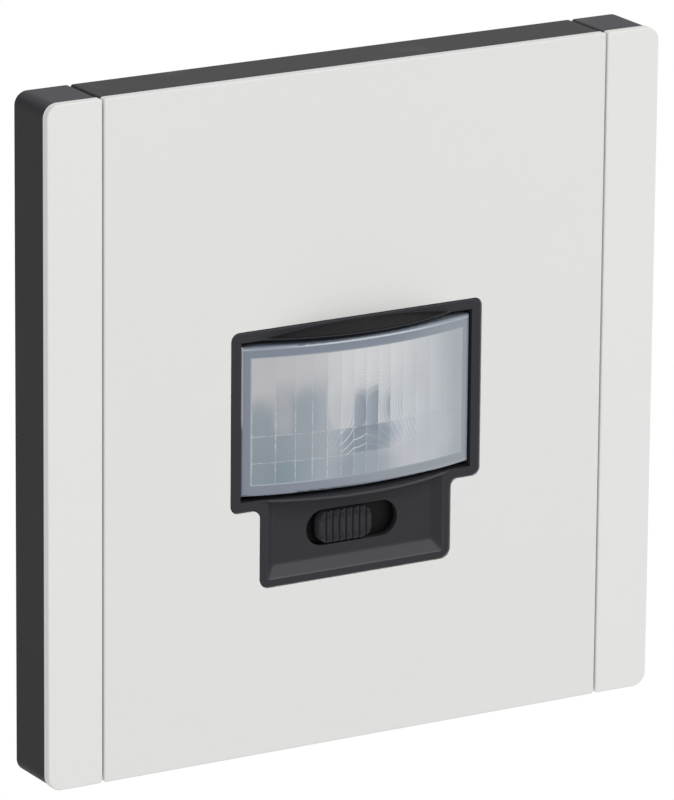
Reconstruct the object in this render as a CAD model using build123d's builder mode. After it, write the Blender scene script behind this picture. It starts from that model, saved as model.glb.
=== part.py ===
from build123d import *
import os
from math import acos, cos, degrees, radians, sin, tan

# Motion sensor wall switch: a flat plate in three panels, a black bezel with a curved lens and
# a three-position slider, and the sensor module that hangs in the wall box behind them.
# X runs right, Z up, and the front faces -Y. The origin is the plate's centre on the wall.
# A level is a distance in front of the wall, so what lies in the wall box has a negative level.

os.makedirs("parts", exist_ok=True)

# Plate. What lies across it or up it keeps its share of a standard one-gang plate.
standard_plate = 86.0
plate_width = 86.0
plate_height = 86.0
plate_depth = 8.5
across = plate_width / standard_plate
upright = plate_height / standard_plate
skin_thickness = 1.1
groove_offset = 35.4 * across
groove_width = 0.25
plate_corner_radius = 1.8
groove_corner_radius = 0.35
edge_round = 0.2
frame_inset = 0.1
frame_wall = 1.6
frame_front_wall = 1.3

# Bezel, measured from the plate's centre
bezel_half_width = 17.7 * across
bezel_top = 11.45 * upright
bezel_shoulder = 11.35 * upright
shoulder_width = 4.15
pocket_half_width = bezel_half_width - shoulder_width
pocket_drop = 21.5 * upright
rim_width = 1.3
pocket_depth = 1.0
slot_length = 13.0 * across
slot_width = 4.6 * upright
slot_drop = 15.3 * upright

# Lens
lens_side_gap = 0.2
lens_half_width = bezel_half_width - rim_width - lens_side_gap
lens_half_height = 9.5 * upright
lens_proud = 2.3
lens_end_recess = 0.3

# Slider
knob_length = 7.5 * across
knob_height = 4.0 * upright
knob_travel = 2.2 * across

# Wall fixing and the module in the wall box
fixing_spacing = 60.3 * across
fixing_slot_length = 7.0 * across
fixing_slot_width = 4.2
bridge_thickness = 1.2
base_thickness = 1.8
cover_thickness = 1.6
module_width = 50.0 * across
module_height = 50.0 * upright
module_depth = 24.0
module_wall = 1.6

# Fits shared by many pieces
seat_gap = 0.1
loose_gap = 0.2
cut_overrun = 1.0

# Levels that several pieces share
skin_back = plate_depth - skin_thickness
frame_ceiling = skin_back - frame_front_wall
base_top = bridge_thickness + base_thickness
cover_front = bridge_thickness + cover_thickness
pocket_floor = plate_depth - pocket_depth
module_back = -module_depth


# Outline of the bezel on one level, grown by a margin: a wide upper part and a narrower pocket
bezel_corner_radius = 1.0
pocket_corner_radius = 1.25
shoulder_inner_radius = 1.1


def bezel_outline(level, margin):
    with BuildSketch(Plane.XZ.offset(level)) as outline:
        with Locations((0, (bezel_top - bezel_shoulder) / 2)):
            Rectangle(2 * (bezel_half_width + margin), bezel_top + bezel_shoulder + 2 * margin)
        with Locations((0, (bezel_top - pocket_drop) / 2)):
            Rectangle(2 * (pocket_half_width + margin), bezel_top + pocket_drop + 2 * margin)
        fillet(outline.vertices().group_by(Axis.Y)[-1], radius=bezel_corner_radius + margin)
        fillet(outline.vertices().group_by(Axis.Y)[0], radius=pocket_corner_radius + margin)
        shoulder = outline.vertices().group_by(Axis.Y)[2].sort_by(Axis.X)
        fillet([shoulder[0], shoulder[-1]], radius=bezel_corner_radius + margin)
        shoulder = outline.vertices().group_by(Axis.Y)[2].sort_by(Axis.X)
        fillet(shoulder[1:3], radius=shoulder_inner_radius - margin)
    return outline.sketch


# White skins: one centre panel round the bezel and a narrow strip at each end
skin_fit = 0.1
opening_round = 0.15
centre_width = 2 * groove_offset - groove_width
end_width = plate_width / 2 - groove_offset - groove_width / 2
end_centre = (plate_width - end_width) / 2

with BuildPart() as centre_fascia:
    with BuildSketch(Plane.XZ.offset(skin_back)) as centre_face:
        Rectangle(centre_width, plate_height)
        fillet(centre_face.vertices(), radius=groove_corner_radius)
    extrude(amount=skin_thickness)
    fillet(centre_fascia.faces().sort_by(Axis.Y)[0].edges(), radius=edge_round)
    extrude(bezel_outline(skin_back, skin_fit), amount=skin_thickness, mode=Mode.SUBTRACT)
centre_fascia.part.label = "centre_fascia"
export_step(centre_fascia.part, "parts/centre_fascia.step")

with BuildPart() as right_fascia:
    with BuildSketch(Plane.XZ.offset(skin_back)) as end_face:
        with Locations((end_centre, 0)):
            Rectangle(end_width, plate_height)
        fillet(end_face.vertices().group_by(Axis.X)[-1], radius=plate_corner_radius)
        fillet(end_face.vertices().group_by(Axis.X)[0], radius=groove_corner_radius)
    extrude(amount=skin_thickness)
    fillet(right_fascia.faces().sort_by(Axis.Y)[0].edges(), radius=edge_round)
right_fascia.part.label = "right_fascia"
export_step(right_fascia.part, "parts/right_fascia.step")

with BuildPart() as left_fascia:
    mirror(right_fascia.part, about=Plane.YZ)
left_fascia.part.label = "left_fascia"
export_step(left_fascia.part, "parts/left_fascia.step")


# Snap prongs that hang from the frames and hook under a ledge inside the plate base.
# Each is given by its middle: x across the prong and z along it; the barb points to side.
prong_thickness = 1.2
prong_width = 6.0
prong_barb = 0.5
prong_tip = bridge_thickness + 0.2 * base_thickness
barb_level = bridge_thickness + 0.5 * base_thickness
end_prong_heights_share = (-0.66, 0, 0.66)
centre_prong_heights_share = (-0.84, -0.38, 0.38, 0.84)
end_prong_x = end_centre - frame_inset
centre_prong_x = fixing_spacing / 2 + prong_thickness
end_prongs = [(end_prong_x, share * plate_height / 2) for share in end_prong_heights_share]
centre_prongs = [(centre_prong_x, share * plate_height / 2) for share in centre_prong_heights_share]


def prong_outline(x, z, side):
    near = x - side * prong_thickness / 2
    far = x + side * prong_thickness / 2
    barb = far + side * prong_barb
    with BuildSketch(Plane.XY.offset(z - prong_width / 2)) as outline:
        with BuildLine():
            Polyline(
                (near, -frame_ceiling),
                (far, -frame_ceiling),
                (far, -barb_level),
                (barb, -barb_level),
                (far, -prong_tip),
                (near, -prong_tip),
                close=True,
            )
        make_face()
    return outline.sketch


# Dark frames: hollow shells behind the skins. Their outer walls reach the wall,
# and the walls along the grooves stop in front of the plate base.
frame_opening_gap = 0.4
groove_wall_level = base_top + 3 * seat_gap
frame_height = plate_height - 2 * frame_inset
frame_end_edge = plate_width / 2 - frame_inset
frame_end_start = plate_width / 2 - end_width
frame_end_width = frame_end_edge - frame_end_start
frame_end_centre = (frame_end_edge + frame_end_start) / 2
frame_corner_radius = plate_corner_radius - frame_inset
cavity_height = frame_height - 2 * frame_wall

with BuildPart() as centre_frame:
    with BuildSketch(Plane.XZ) as centre_shell_face:
        Rectangle(centre_width, frame_height)
        fillet(centre_shell_face.vertices(), radius=groove_corner_radius)
    extrude(amount=skin_back)
    with BuildSketch(Plane.XZ):
        Rectangle(centre_width - 2 * frame_wall, cavity_height)
    extrude(amount=frame_ceiling, mode=Mode.SUBTRACT)
    with BuildSketch(Plane.XZ):
        Rectangle(centre_width, cavity_height)
    extrude(amount=groove_wall_level, mode=Mode.SUBTRACT)
    extrude(bezel_outline(0, frame_opening_gap), amount=skin_back, mode=Mode.SUBTRACT)
    for x, z in centre_prongs:
        extrude(prong_outline(x, z, 1), amount=prong_width)
        extrude(prong_outline(-x, z, -1), amount=prong_width)
centre_frame.part.label = "centre_frame"
export_step(centre_frame.part, "parts/centre_frame.step")

with BuildPart() as right_end_frame:
    with BuildSketch(Plane.XZ) as end_shell_face:
        with Locations((frame_end_centre, 0)):
            Rectangle(frame_end_width, frame_height)
        fillet(end_shell_face.vertices().group_by(Axis.X)[-1], radius=frame_corner_radius)
        fillet(end_shell_face.vertices().group_by(Axis.X)[0], radius=groove_corner_radius)
    extrude(amount=skin_back)
    with BuildSketch(Plane.XZ):
        with Locations((frame_end_centre, 0)):
            Rectangle(frame_end_width - 2 * frame_wall, cavity_height)
    extrude(amount=frame_ceiling, mode=Mode.SUBTRACT)
    with BuildSketch(Plane.XZ):
        with Locations((frame_end_start, 0)):
            Rectangle(2 * frame_wall + cut_overrun, cavity_height)
    extrude(amount=groove_wall_level, mode=Mode.SUBTRACT)
    for x, z in end_prongs:
        extrude(prong_outline(x, z, 1), amount=prong_width)
right_end_frame.part.label = "right_end_frame"
export_step(right_end_frame.part, "parts/right_end_frame.step")

with BuildPart() as left_end_frame:
    mirror(right_end_frame.part, about=Plane.YZ)
left_end_frame.part.label = "left_end_frame"
export_step(left_end_frame.part, "parts/left_end_frame.step")


# Steel bridge screwed to the wall box, with a window that the module drops through
bridge_margin = 7.0
bridge_width = plate_width - 2 * bridge_margin
bridge_height = plate_height - 2 * bridge_margin
bridge_corner_radius = 3.0
bridge_window_radius = 2.0
base_screw_radius = 1.0
base_screw_x = centre_prong_x
base_screw_z = 26.2 * upright
screw_play = 0.05
base_screw_places = [(i * base_screw_x, j * base_screw_z) for i in (-1, 1) for j in (-1, 1)]

with BuildPart() as support_frame:
    with BuildSketch(Plane.XZ):
        RectangleRounded(bridge_width, bridge_height, bridge_corner_radius)
        RectangleRounded(
            module_width + 2 * loose_gap,
            module_height + 2 * loose_gap,
            bridge_window_radius,
            mode=Mode.SUBTRACT,
        )
        with GridLocations(fixing_spacing, 0, 2, 1):
            SlotOverall(fixing_slot_length, fixing_slot_width, mode=Mode.SUBTRACT)
        with Locations(*base_screw_places):
            Circle(base_screw_radius + screw_play, mode=Mode.SUBTRACT)
    extrude(amount=bridge_thickness)
support_frame.part.label = "support_frame"
export_step(support_frame.part, "parts/support_frame.step")


# Plate base: the moulded grid that the three panels snap onto
base_width = plate_width - 2 * (frame_inset + frame_wall + loose_gap)
base_height = cavity_height - 2 * loose_gap
base_corner_radius = 2.0
cover_margin = 1.8
cover_width = module_width + 2 * cover_margin
cover_height = module_height + 2 * cover_margin
base_window_width = cover_width + 3 * loose_gap
base_window_height = cover_height + 3 * loose_gap
base_window_radius = 3.0
screw_bay_width = 16.0 * across
screw_bay_height = 10.0
seat_rib_thickness = 1.2
centre_seat_length = 58.0 * across
end_seat_length = 8.0 * upright
seat_rib_level = frame_ceiling
centre_seat_z = (base_height - seat_rib_thickness) / 2
end_seat_z = 14.2 * upright

with BuildPart() as plate_base:
    with BuildSketch(Plane.XZ.offset(bridge_thickness)):
        RectangleRounded(base_width, base_height, base_corner_radius)
        RectangleRounded(
            base_window_width, base_window_height, base_window_radius, mode=Mode.SUBTRACT
        )
        with GridLocations(base_window_width, 0, 2, 1):
            Rectangle(screw_bay_width, screw_bay_height, mode=Mode.SUBTRACT)
        with Locations(*base_screw_places):
            Circle(base_screw_radius + seat_gap + loose_gap, mode=Mode.SUBTRACT)
    extrude(amount=base_thickness)
    for side in (-1, 1):
        for x, z in end_prongs + centre_prongs:
            with BuildSketch(Plane.XZ.offset(bridge_thickness)):
                with Locations((side * x, z)):
                    Rectangle(prong_thickness + 2 * loose_gap, prong_width + 2 * loose_gap)
            extrude(amount=base_thickness, mode=Mode.SUBTRACT)
            with BuildSketch(Plane.XZ.offset(bridge_thickness)):
                with Locations((side * (x + prong_barb / 2), z)):
                    Rectangle(
                        prong_thickness + prong_barb + 2 * loose_gap,
                        prong_width + 2 * loose_gap,
                    )
            extrude(amount=barb_level + seat_gap - bridge_thickness, mode=Mode.SUBTRACT)
    with BuildSketch(Plane.XZ.offset(base_top)):
        with GridLocations(0, 2 * centre_seat_z, 1, 2):
            Rectangle(centre_seat_length, seat_rib_thickness)
        with GridLocations(2 * end_prong_x, 2 * end_seat_z, 2, 2):
            Rectangle(seat_rib_thickness, end_seat_length)
    extrude(amount=seat_rib_level - base_top)
plate_base.part.label = "plate_base"
export_step(plate_base.part, "parts/plate_base.step")

# Screws that hold the plate base on the bridge
base_screw_head_radius = 2.1
base_screw_head_height = 1.3
recess_length = 2.2
recess_width = 0.6
recess_depth = 0.7

with BuildPart() as base_screws:
    with BuildSketch(Plane.XZ.offset(seat_gap)):
        with Locations(*base_screw_places):
            Circle(base_screw_radius)
    extrude(amount=base_top - seat_gap)
    with BuildSketch(Plane.XZ.offset(base_top)):
        with Locations(*base_screw_places):
            Circle(base_screw_head_radius)
    extrude(amount=base_screw_head_height)
    with BuildSketch(Plane.XZ.offset(base_top + base_screw_head_height)):
        with Locations(*base_screw_places):
            Rectangle(recess_length, recess_width)
            Rectangle(recess_width, recess_length)
    extrude(amount=-recess_depth, mode=Mode.SUBTRACT)
base_screws.part.label = "base_screws"
export_step(base_screws.part, "parts/base_screws.step")


# Bezel. The hood above the lens and the chin below it are one turned form: their outer faces
# are cones about an upright axis behind the plate, so they stand out most in the middle
# and run into the flat rim on each side.
bezel_edge_round = 0.25
window_half_width = bezel_half_width - rim_width
window_edge = 1.2 * upright
window_half_height = bezel_shoulder - window_edge
floor_thickness = 1.2
divider_width = 1.65
divider_drop = window_half_height + divider_width
hood_proud = 3.0
hood_radius = 31.0
hood_lip = 0.3
hood_draft = 16.0
hood_root = 0.5
hood_axis_y = hood_radius - plate_depth - hood_proud
hood_half_angle = degrees(acos((hood_radius - hood_proud) / hood_radius))
pocket_rim = 0.9
pocket_side_slope = 1.35
pocket_bottom_slope = 1.65
pocket_mouth_half_width = pocket_half_width - pocket_rim
pocket_mouth_drop = pocket_drop - pocket_rim
pocket_floor_half_width = pocket_mouth_half_width - pocket_side_slope
pocket_floor_drop = pocket_mouth_drop - pocket_bottom_slope
pocket_inner_radius = 0.5
pocket_floor_round = 0.4
pocket_wall = 1.0
chamber_ceiling = pocket_floor - floor_thickness
slot_edge_chamfer = 0.15
carriage_height = 6.0 * upright
carriage_thickness = 0.8
rail_thickness = 0.8
tab_width = 3.0
tab_thickness = 0.9
tab_barb = 0.4
tab_tip_drop = 1.0
upper_tab_z = 6.0 * upright
lower_tab_z = -17.0 * upright
upper_tab_x = bezel_half_width - rim_width / 2
lower_tab_x = pocket_half_width - pocket_wall / 2
bezel_tabs = [
    (i * x, z, i)
    for i in (-1, 1)
    for x, z in ((upper_tab_x, upper_tab_z), (upper_tab_x, -upper_tab_z), (lower_tab_x, lower_tab_z))
]
lens_flange_thickness = 0.8
lens_flange_level = cover_front + lens_flange_thickness
lens_pad_length = 4.0
lens_pad_x = 10.0 * across
lens_pad_thickness = window_half_height - lens_half_height - loose_gap


# One side of the turned form in the plane of its axis: side is +1 for the hood and -1 for the chin
def brow_outline(side, drop):
    foot = window_half_height + hood_lip + drop * tan(radians(hood_draft))
    start = radians(-hood_half_angle)
    turned_plane = Plane(
        origin=(0, hood_axis_y, 0),
        x_dir=(sin(start), -cos(start), 0),
        z_dir=(-cos(start), -sin(start), 0),
    )
    with BuildSketch(turned_plane) as outline:
        with BuildLine():
            Polyline(
                (hood_radius, side * window_half_height),
                (hood_radius, side * (window_half_height + hood_lip)),
                (hood_radius - drop, side * foot),
                (hood_radius - drop - hood_root, side * foot),
                (hood_radius - drop - hood_root, side * window_half_height),
                close=True,
            )
        make_face()
    return outline.sketch


# Pocket with sloping side and bottom walls, rounded where they meet its floor
with BuildPart() as pocket_hollow:
    with BuildSketch(Plane.XZ.offset(plate_depth)) as mouth:
        with Locations((0, -(pocket_mouth_drop + window_half_height) / 2)):
            Rectangle(2 * pocket_mouth_half_width, pocket_mouth_drop - window_half_height)
        fillet(mouth.vertices().group_by(Axis.Y)[0], radius=pocket_inner_radius)
    with BuildSketch(Plane.XZ.offset(pocket_floor)) as floor:
        with Locations((0, -(pocket_floor_drop + window_half_height) / 2)):
            Rectangle(2 * pocket_floor_half_width, pocket_floor_drop - window_half_height)
        fillet(floor.vertices().group_by(Axis.Y)[0], radius=pocket_inner_radius)
    loft(ruled=True)
    fillet(pocket_hollow.faces().sort_by(Axis.Y)[-1].edges(), radius=pocket_floor_round)

with BuildPart() as sensor_bezel:
    extrude(bezel_outline(cover_front, 0), amount=plate_depth - cover_front)
    fillet(sensor_bezel.faces().sort_by(Axis.Y)[0].edges(), radius=bezel_edge_round)
    add(pocket_hollow.part, mode=Mode.SUBTRACT)
    # chamber behind the pocket floor
    with BuildSketch(Plane.XZ.offset(cover_front)):
        with Locations((0, -(pocket_drop - pocket_wall + divider_drop) / 2)):
            Rectangle(2 * (pocket_half_width - pocket_wall), pocket_drop - pocket_wall - divider_drop)
    extrude(amount=chamber_ceiling - cover_front, mode=Mode.SUBTRACT)
    # hood and chin
    brow_axis = Axis((0, hood_axis_y, 0), (0, 0, 1))
    revolve(brow_outline(1, hood_proud), axis=brow_axis, revolution_arc=2 * hood_half_angle)
    revolve(
        brow_outline(-1, hood_proud + pocket_depth), axis=brow_axis, revolution_arc=2 * hood_half_angle
    )
    # lens window, straight through
    with BuildSketch(Plane.XZ.offset(cover_front)):
        Rectangle(2 * window_half_width, 2 * window_half_height)
    extrude(amount=plate_depth + hood_proud, mode=Mode.SUBTRACT)
    # slot for the slider
    with BuildSketch(Plane.XZ.offset(pocket_floor)):
        with Locations((0, -slot_drop)):
            SlotOverall(slot_length, slot_width)
    extrude(amount=-floor_thickness, mode=Mode.SUBTRACT)
    # rails that guide the slider's carriage behind the floor
    with BuildSketch(Plane.XZ.offset(chamber_ceiling)):
        with Locations((0, -slot_drop)):
            with GridLocations(0, carriage_height + rail_thickness + 2 * loose_gap, 1, 2):
                Rectangle(2 * (pocket_half_width - pocket_wall), rail_thickness)
    extrude(amount=-carriage_thickness - seat_gap)
    # pads that press the lens's flange on the cover
    with BuildSketch(Plane.XZ.offset(lens_flange_level)):
        with GridLocations(2 * lens_pad_x, 2 * window_half_height - lens_pad_thickness, 2, 2):
            Rectangle(lens_pad_length, lens_pad_thickness)
    extrude(amount=plate_depth - lens_flange_level - pocket_depth)
    # snap tabs that pass through the cover
    for x, z, side in bezel_tabs:
        with BuildSketch(Plane.XY.offset(z - tab_width / 2)):
            with BuildLine():
                Polyline(
                    (x - side * tab_thickness / 2, -cover_front),
                    (x + side * tab_thickness / 2, -cover_front),
                    (x + side * tab_thickness / 2, -bridge_thickness + seat_gap),
                    (x + side * (tab_thickness / 2 + tab_barb), -bridge_thickness + seat_gap),
                    (x + side * tab_thickness / 2, -bridge_thickness + tab_tip_drop),
                    (x - side * tab_thickness / 2, -bridge_thickness + tab_tip_drop),
                    close=True,
                )
            make_face()
        extrude(amount=tab_width)
sensor_bezel.part.label = "sensor_bezel"
export_step(sensor_bezel.part, "parts/sensor_bezel.step")


# Lens: a cap whose face is a sheet curved about an upright axis, with a skirt and a seating
# flange. Grooves on its inner face part the facets, whose columns take equal angles at the detector.
lens_thickness = 0.7
lens_skirt = 0.8
lens_edge_round = 0.35
lens_rise = lens_proud + lens_end_recess
lens_radius = (lens_half_width**2 + lens_rise**2) / (2 * lens_rise)
lens_axis_y = lens_radius - plate_depth - lens_proud
facet_distance = 16.0 * across
facet_angle = 6.15
facet_columns_each_side = 7
facet_edge = 1.6
facet_top = lens_half_height - facet_edge
facet_bottom = -facet_top
facet_row_shares = (-0.2375, -0.6625)
facet_rows = [share * facet_top for share in facet_row_shares]
facet_groove_width = 0.2
facet_groove_depth = 0.2
column_edges = [
    facet_distance * tan(radians(i * facet_angle))
    for i in range(-facet_columns_each_side, facet_columns_each_side + 1)
]

with BuildPart() as lens_core:
    with BuildSketch(Plane.XZ.offset(cover_front)):
        Rectangle(2 * (lens_half_width - lens_skirt), 2 * (lens_half_height - lens_skirt))
    extrude(amount=plate_depth + lens_proud - cover_front)
    with Locations((0, lens_axis_y, 0)):
        Cylinder(lens_radius - lens_thickness, 2 * lens_half_height, mode=Mode.INTERSECT)

with BuildPart() as facet_grid:
    with BuildSketch(Plane.XZ.offset(pocket_floor - lens_thickness)):
        for x in column_edges:
            with Locations((x, (facet_top + facet_bottom) / 2)):
                Rectangle(facet_groove_width, facet_top - facet_bottom + facet_groove_width)
        for z in (facet_bottom, *facet_rows, facet_top):
            with Locations((0, z)):
                Rectangle(2 * column_edges[-1], facet_groove_width)
    extrude(amount=pocket_depth + lens_proud + lens_thickness)
    with Locations((0, lens_axis_y, 0)):
        Cylinder(
            lens_radius - lens_thickness + facet_groove_depth,
            2 * lens_half_height,
            mode=Mode.INTERSECT,
        )

with BuildPart() as fresnel_lens:
    with BuildSketch(Plane.XZ.offset(cover_front)):
        Rectangle(2 * lens_half_width, 2 * lens_half_height)
    extrude(amount=plate_depth + lens_proud - cover_front)
    with Locations((0, lens_axis_y, 0)):
        Cylinder(lens_radius, 2 * lens_half_height, mode=Mode.INTERSECT)
    fillet(fresnel_lens.faces().sort_by(Axis.Y)[0].edges(), radius=lens_edge_round)
    with BuildSketch(Plane.XZ.offset(cover_front)):
        Rectangle(
            2 * (window_half_width - loose_gap), 2 * (window_half_height - loose_gap)
        )
    extrude(amount=lens_flange_thickness)
    add(lens_core.part, mode=Mode.SUBTRACT)
    add(facet_grid.part, mode=Mode.SUBTRACT)
fresnel_lens.part.label = "fresnel_lens"
export_step(fresnel_lens.part, "parts/fresnel_lens.step")


# Slider knob at its left position: a ribbed grip in the slot, a carriage behind the floor
# and a fork that straddles the switch lever
knob_rest_x = -knob_travel / 2
knob_proud = 0.35
knob_corner_radius = 1.3
knob_rib_pitch = 0.95 * across
knob_grooves = 7
knob_groove_width = 0.42
knob_groove_depth = 0.3
knob_edge_round = 0.15
carriage_length = 17.0 * across
carriage_top = chamber_ceiling - seat_gap
carriage_bottom = carriage_top - carriage_thickness
lever_width = 2.0
fork_play = 0.06
fork_tine = 1.2
fork_height = 3.0
fork_tip = 0.5 * bridge_thickness

with BuildPart() as slider_knob:
    with BuildSketch(Plane.XZ.offset(carriage_top)):
        with Locations((knob_rest_x, -slot_drop)):
            RectangleRounded(knob_length, knob_height, knob_corner_radius)
    extrude(amount=pocket_floor + knob_proud - carriage_top)
    fillet(slider_knob.faces().sort_by(Axis.Y)[0].edges(), radius=knob_edge_round)
    with BuildSketch(Plane.XZ.offset(pocket_floor + knob_proud)):
        with Locations((knob_rest_x, -slot_drop)):
            with GridLocations(knob_rib_pitch, 0, knob_grooves, 1):
                Rectangle(knob_groove_width, knob_height)
    extrude(amount=-knob_groove_depth, mode=Mode.SUBTRACT)
    with BuildSketch(Plane.XZ.offset(carriage_bottom)):
        with Locations((knob_rest_x, -slot_drop)):
            Rectangle(carriage_length, carriage_height)
    extrude(amount=carriage_thickness)
    with BuildSketch(Plane.XZ.offset(fork_tip)):
        with Locations((knob_rest_x, -slot_drop)):
            with GridLocations(lever_width + fork_tine + 2 * fork_play, 0, 2, 1):
                Rectangle(fork_tine, fork_height)
    extrude(amount=carriage_bottom - fork_tip)
slider_knob.part.label = "slider_knob"
export_step(slider_knob.part, "parts/slider_knob.step")


# Module cover: closes the module's front, carries the bezel and the lens, and rests on the bridge
cover_corner_radius = 3.0
spigot_depth = 1.6
spigot_thickness = 1.2
spigot_width = module_width - 2 * module_wall - 2 * loose_gap
spigot_height = module_height - 2 * module_wall - 2 * loose_gap
optic_width = 29.0 * across
optic_height = 15.6 * upright
fork_opening_width = 10.0
fork_opening_height = 5.0
boss_inset = 4.0
boss_x = module_width / 2 - boss_inset
boss_z = module_height / 2 - boss_inset
boss_radius = 2.5
housing_screw_radius = 1.25
housing_screw_head_radius = 2.3
housing_screw_length = 8.0
housing_screw_places = [(i * boss_x, j * boss_z) for i in (-1, 1) for j in (-1, 1)]
head_depth = housing_screw_head_radius - housing_screw_radius
trimmer_inset = 4.8
trimmer_x = module_width / 2 - trimmer_inset
trimmer_z = -10.0 * upright
trimmer_access_radius = 1.9
trimmer_places = [(-trimmer_x, trimmer_z), (trimmer_x, trimmer_z)]

with BuildPart() as module_cover:
    with BuildSketch(Plane.XZ.offset(bridge_thickness)):
        RectangleRounded(cover_width, cover_height, cover_corner_radius)
    extrude(amount=cover_thickness)
    with BuildSketch(Plane.XZ.offset(bridge_thickness)):
        Rectangle(spigot_width, spigot_height)
        Rectangle(
            spigot_width - 2 * spigot_thickness,
            spigot_height - 2 * spigot_thickness,
            mode=Mode.SUBTRACT,
        )
        with Locations(*housing_screw_places):
            Rectangle(2 * (boss_radius + loose_gap), 2 * (boss_radius + loose_gap), mode=Mode.SUBTRACT)
    extrude(amount=-spigot_depth)
    with BuildSketch(Plane.XZ.offset(bridge_thickness)):
        Rectangle(optic_width, optic_height)
        with Locations((0, -slot_drop)):
            Rectangle(fork_opening_width, fork_opening_height)
        with Locations(*trimmer_places):
            Circle(trimmer_access_radius)
        for x, z, side in bezel_tabs:
            with Locations((x, z)):
                Rectangle(tab_thickness + 2 * seat_gap, tab_width + 2 * loose_gap)
        with Locations(*housing_screw_places):
            Circle(housing_screw_radius + screw_play)
    extrude(amount=cover_thickness, mode=Mode.SUBTRACT)
    for x, z in housing_screw_places:
        with BuildSketch(Plane.XZ.offset(cover_front)):
            with Locations((x, z)):
                Circle(housing_screw_head_radius + screw_play)
        with BuildSketch(Plane.XZ.offset(cover_front - head_depth)):
            with Locations((x, z)):
                Circle(housing_screw_radius + screw_play)
        loft(mode=Mode.SUBTRACT)
module_cover.part.label = "module_cover"
export_step(module_cover.part, "parts/module_cover.step")

with BuildPart() as housing_screws:
    for x, z in housing_screw_places:
        with BuildSketch(Plane.XZ.offset(cover_front)):
            with Locations((x, z)):
                Circle(housing_screw_head_radius)
        with BuildSketch(Plane.XZ.offset(cover_front - head_depth)):
            with Locations((x, z)):
                Circle(housing_screw_radius)
        loft()
    with BuildSketch(Plane.XZ.offset(cover_front - head_depth)):
        with Locations(*housing_screw_places):
            Circle(housing_screw_radius)
    extrude(amount=-(housing_screw_length - head_depth))
    with BuildSketch(Plane.XZ.offset(cover_front)):
        with Locations(*housing_screw_places):
            Rectangle(recess_length, recess_width)
            Rectangle(recess_width, recess_length)
    extrude(amount=-recess_depth, mode=Mode.SUBTRACT)
housing_screws.part.label = "housing_screws"
export_step(housing_screws.part, "parts/housing_screws.step")


# Boards and the levels they lie on
sensor_board_depth = 4.6
sensor_board_front = -sensor_board_depth
sensor_board_thickness = 1.2
sensor_board_inset = 2.0
power_board_thickness = 1.6
power_pad_height = 0.6
power_board_inset = 2.6
board_corner_radius = 1.0
boss_clearance = 0.5
sensor_board_back = sensor_board_front - sensor_board_thickness
housing_floor = module_back + module_wall
power_board_back = housing_floor + power_pad_height
power_board_front = power_board_back + power_board_thickness

# Terminal bay at the bottom of the module's back
pole_count = 3
pole_pitch = 7.5 * across
block_width = 24.8 * across
block_height = 9.0
block_bottom_inset = 1.0
block_bottom = block_bottom_inset - module_height / 2
block_top = block_bottom + block_height
block_thickness = 9.9
block_back = module_back + loose_gap
block_front = block_back + block_thickness
bay_wall = 1.4
bay_top = block_top + loose_gap
bay_front = block_front + loose_gap
clamp_thickness = 0.7
tail_width = 2.4
clamp_cover = 1.2
clamp_front = block_front - clamp_cover
tail_slot_gap = 0.15

# Ledges on the housing's walls that carry the sensor board
ledge_width = 4.0
ledge_depth = 2.6
ledge_x = module_width / 2 - module_wall - ledge_depth / 2
ledge_z = module_height / 2 - module_wall - ledge_depth / 2
ledge_places = [(ledge_x, 0), (-ledge_x, 0), (0, ledge_z), (0, -ledge_z)]


# Space inside the housing, less the bosses, ledges, pads and the walls of the terminal bay
housing_draft = 1.2
housing_corner_radius = 3.0
housing_inner_radius = 1.6
snap_width = 8.0
snap_height = 0.7
snap_length = 3.4
snap_x = 12.0 * across
pilot_depth = 9.0
power_pad_radius = 1.8
power_pad_x = 14.0 * across
power_pad_top = 20.0 * upright
power_pad_bottom = -8.0 * upright
power_pad_places = [(i * power_pad_x, z) for i in (-1, 1) for z in (power_pad_top, power_pad_bottom)]

with BuildPart() as housing_space:
    with BuildSketch(Plane.XZ.offset(bridge_thickness)):
        RectangleRounded(
            module_width - 2 * module_wall, module_height - 2 * module_wall, housing_inner_radius
        )
    extrude(amount=-(bridge_thickness - housing_floor), taper=housing_draft)
    with BuildSketch(Plane.XZ.offset(housing_floor - cut_overrun)):
        with Locations(*housing_screw_places):
            Rectangle(2 * boss_radius, 2 * boss_radius)
    extrude(amount=bridge_thickness - housing_floor + cut_overrun, mode=Mode.SUBTRACT)
    with BuildSketch(Plane.XZ.offset(housing_floor - cut_overrun)):
        with Locations(*ledge_places):
            Rectangle(ledge_width, ledge_width)
    extrude(amount=sensor_board_back - housing_floor + cut_overrun, mode=Mode.SUBTRACT)
    with BuildSketch(Plane.XZ.offset(housing_floor)):
        with Locations(*power_pad_places):
            Circle(power_pad_radius)
    extrude(amount=power_pad_height, mode=Mode.SUBTRACT)
    with BuildSketch(Plane.XZ.offset(bay_front + bay_wall)):
        with Locations((0, bay_top + bay_wall)):
            Rectangle(
                block_width + 2 * (loose_gap + bay_wall),
                module_height,
                align=(Align.CENTER, Align.MAX),
            )
    extrude(amount=-module_depth, mode=Mode.SUBTRACT)

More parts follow.
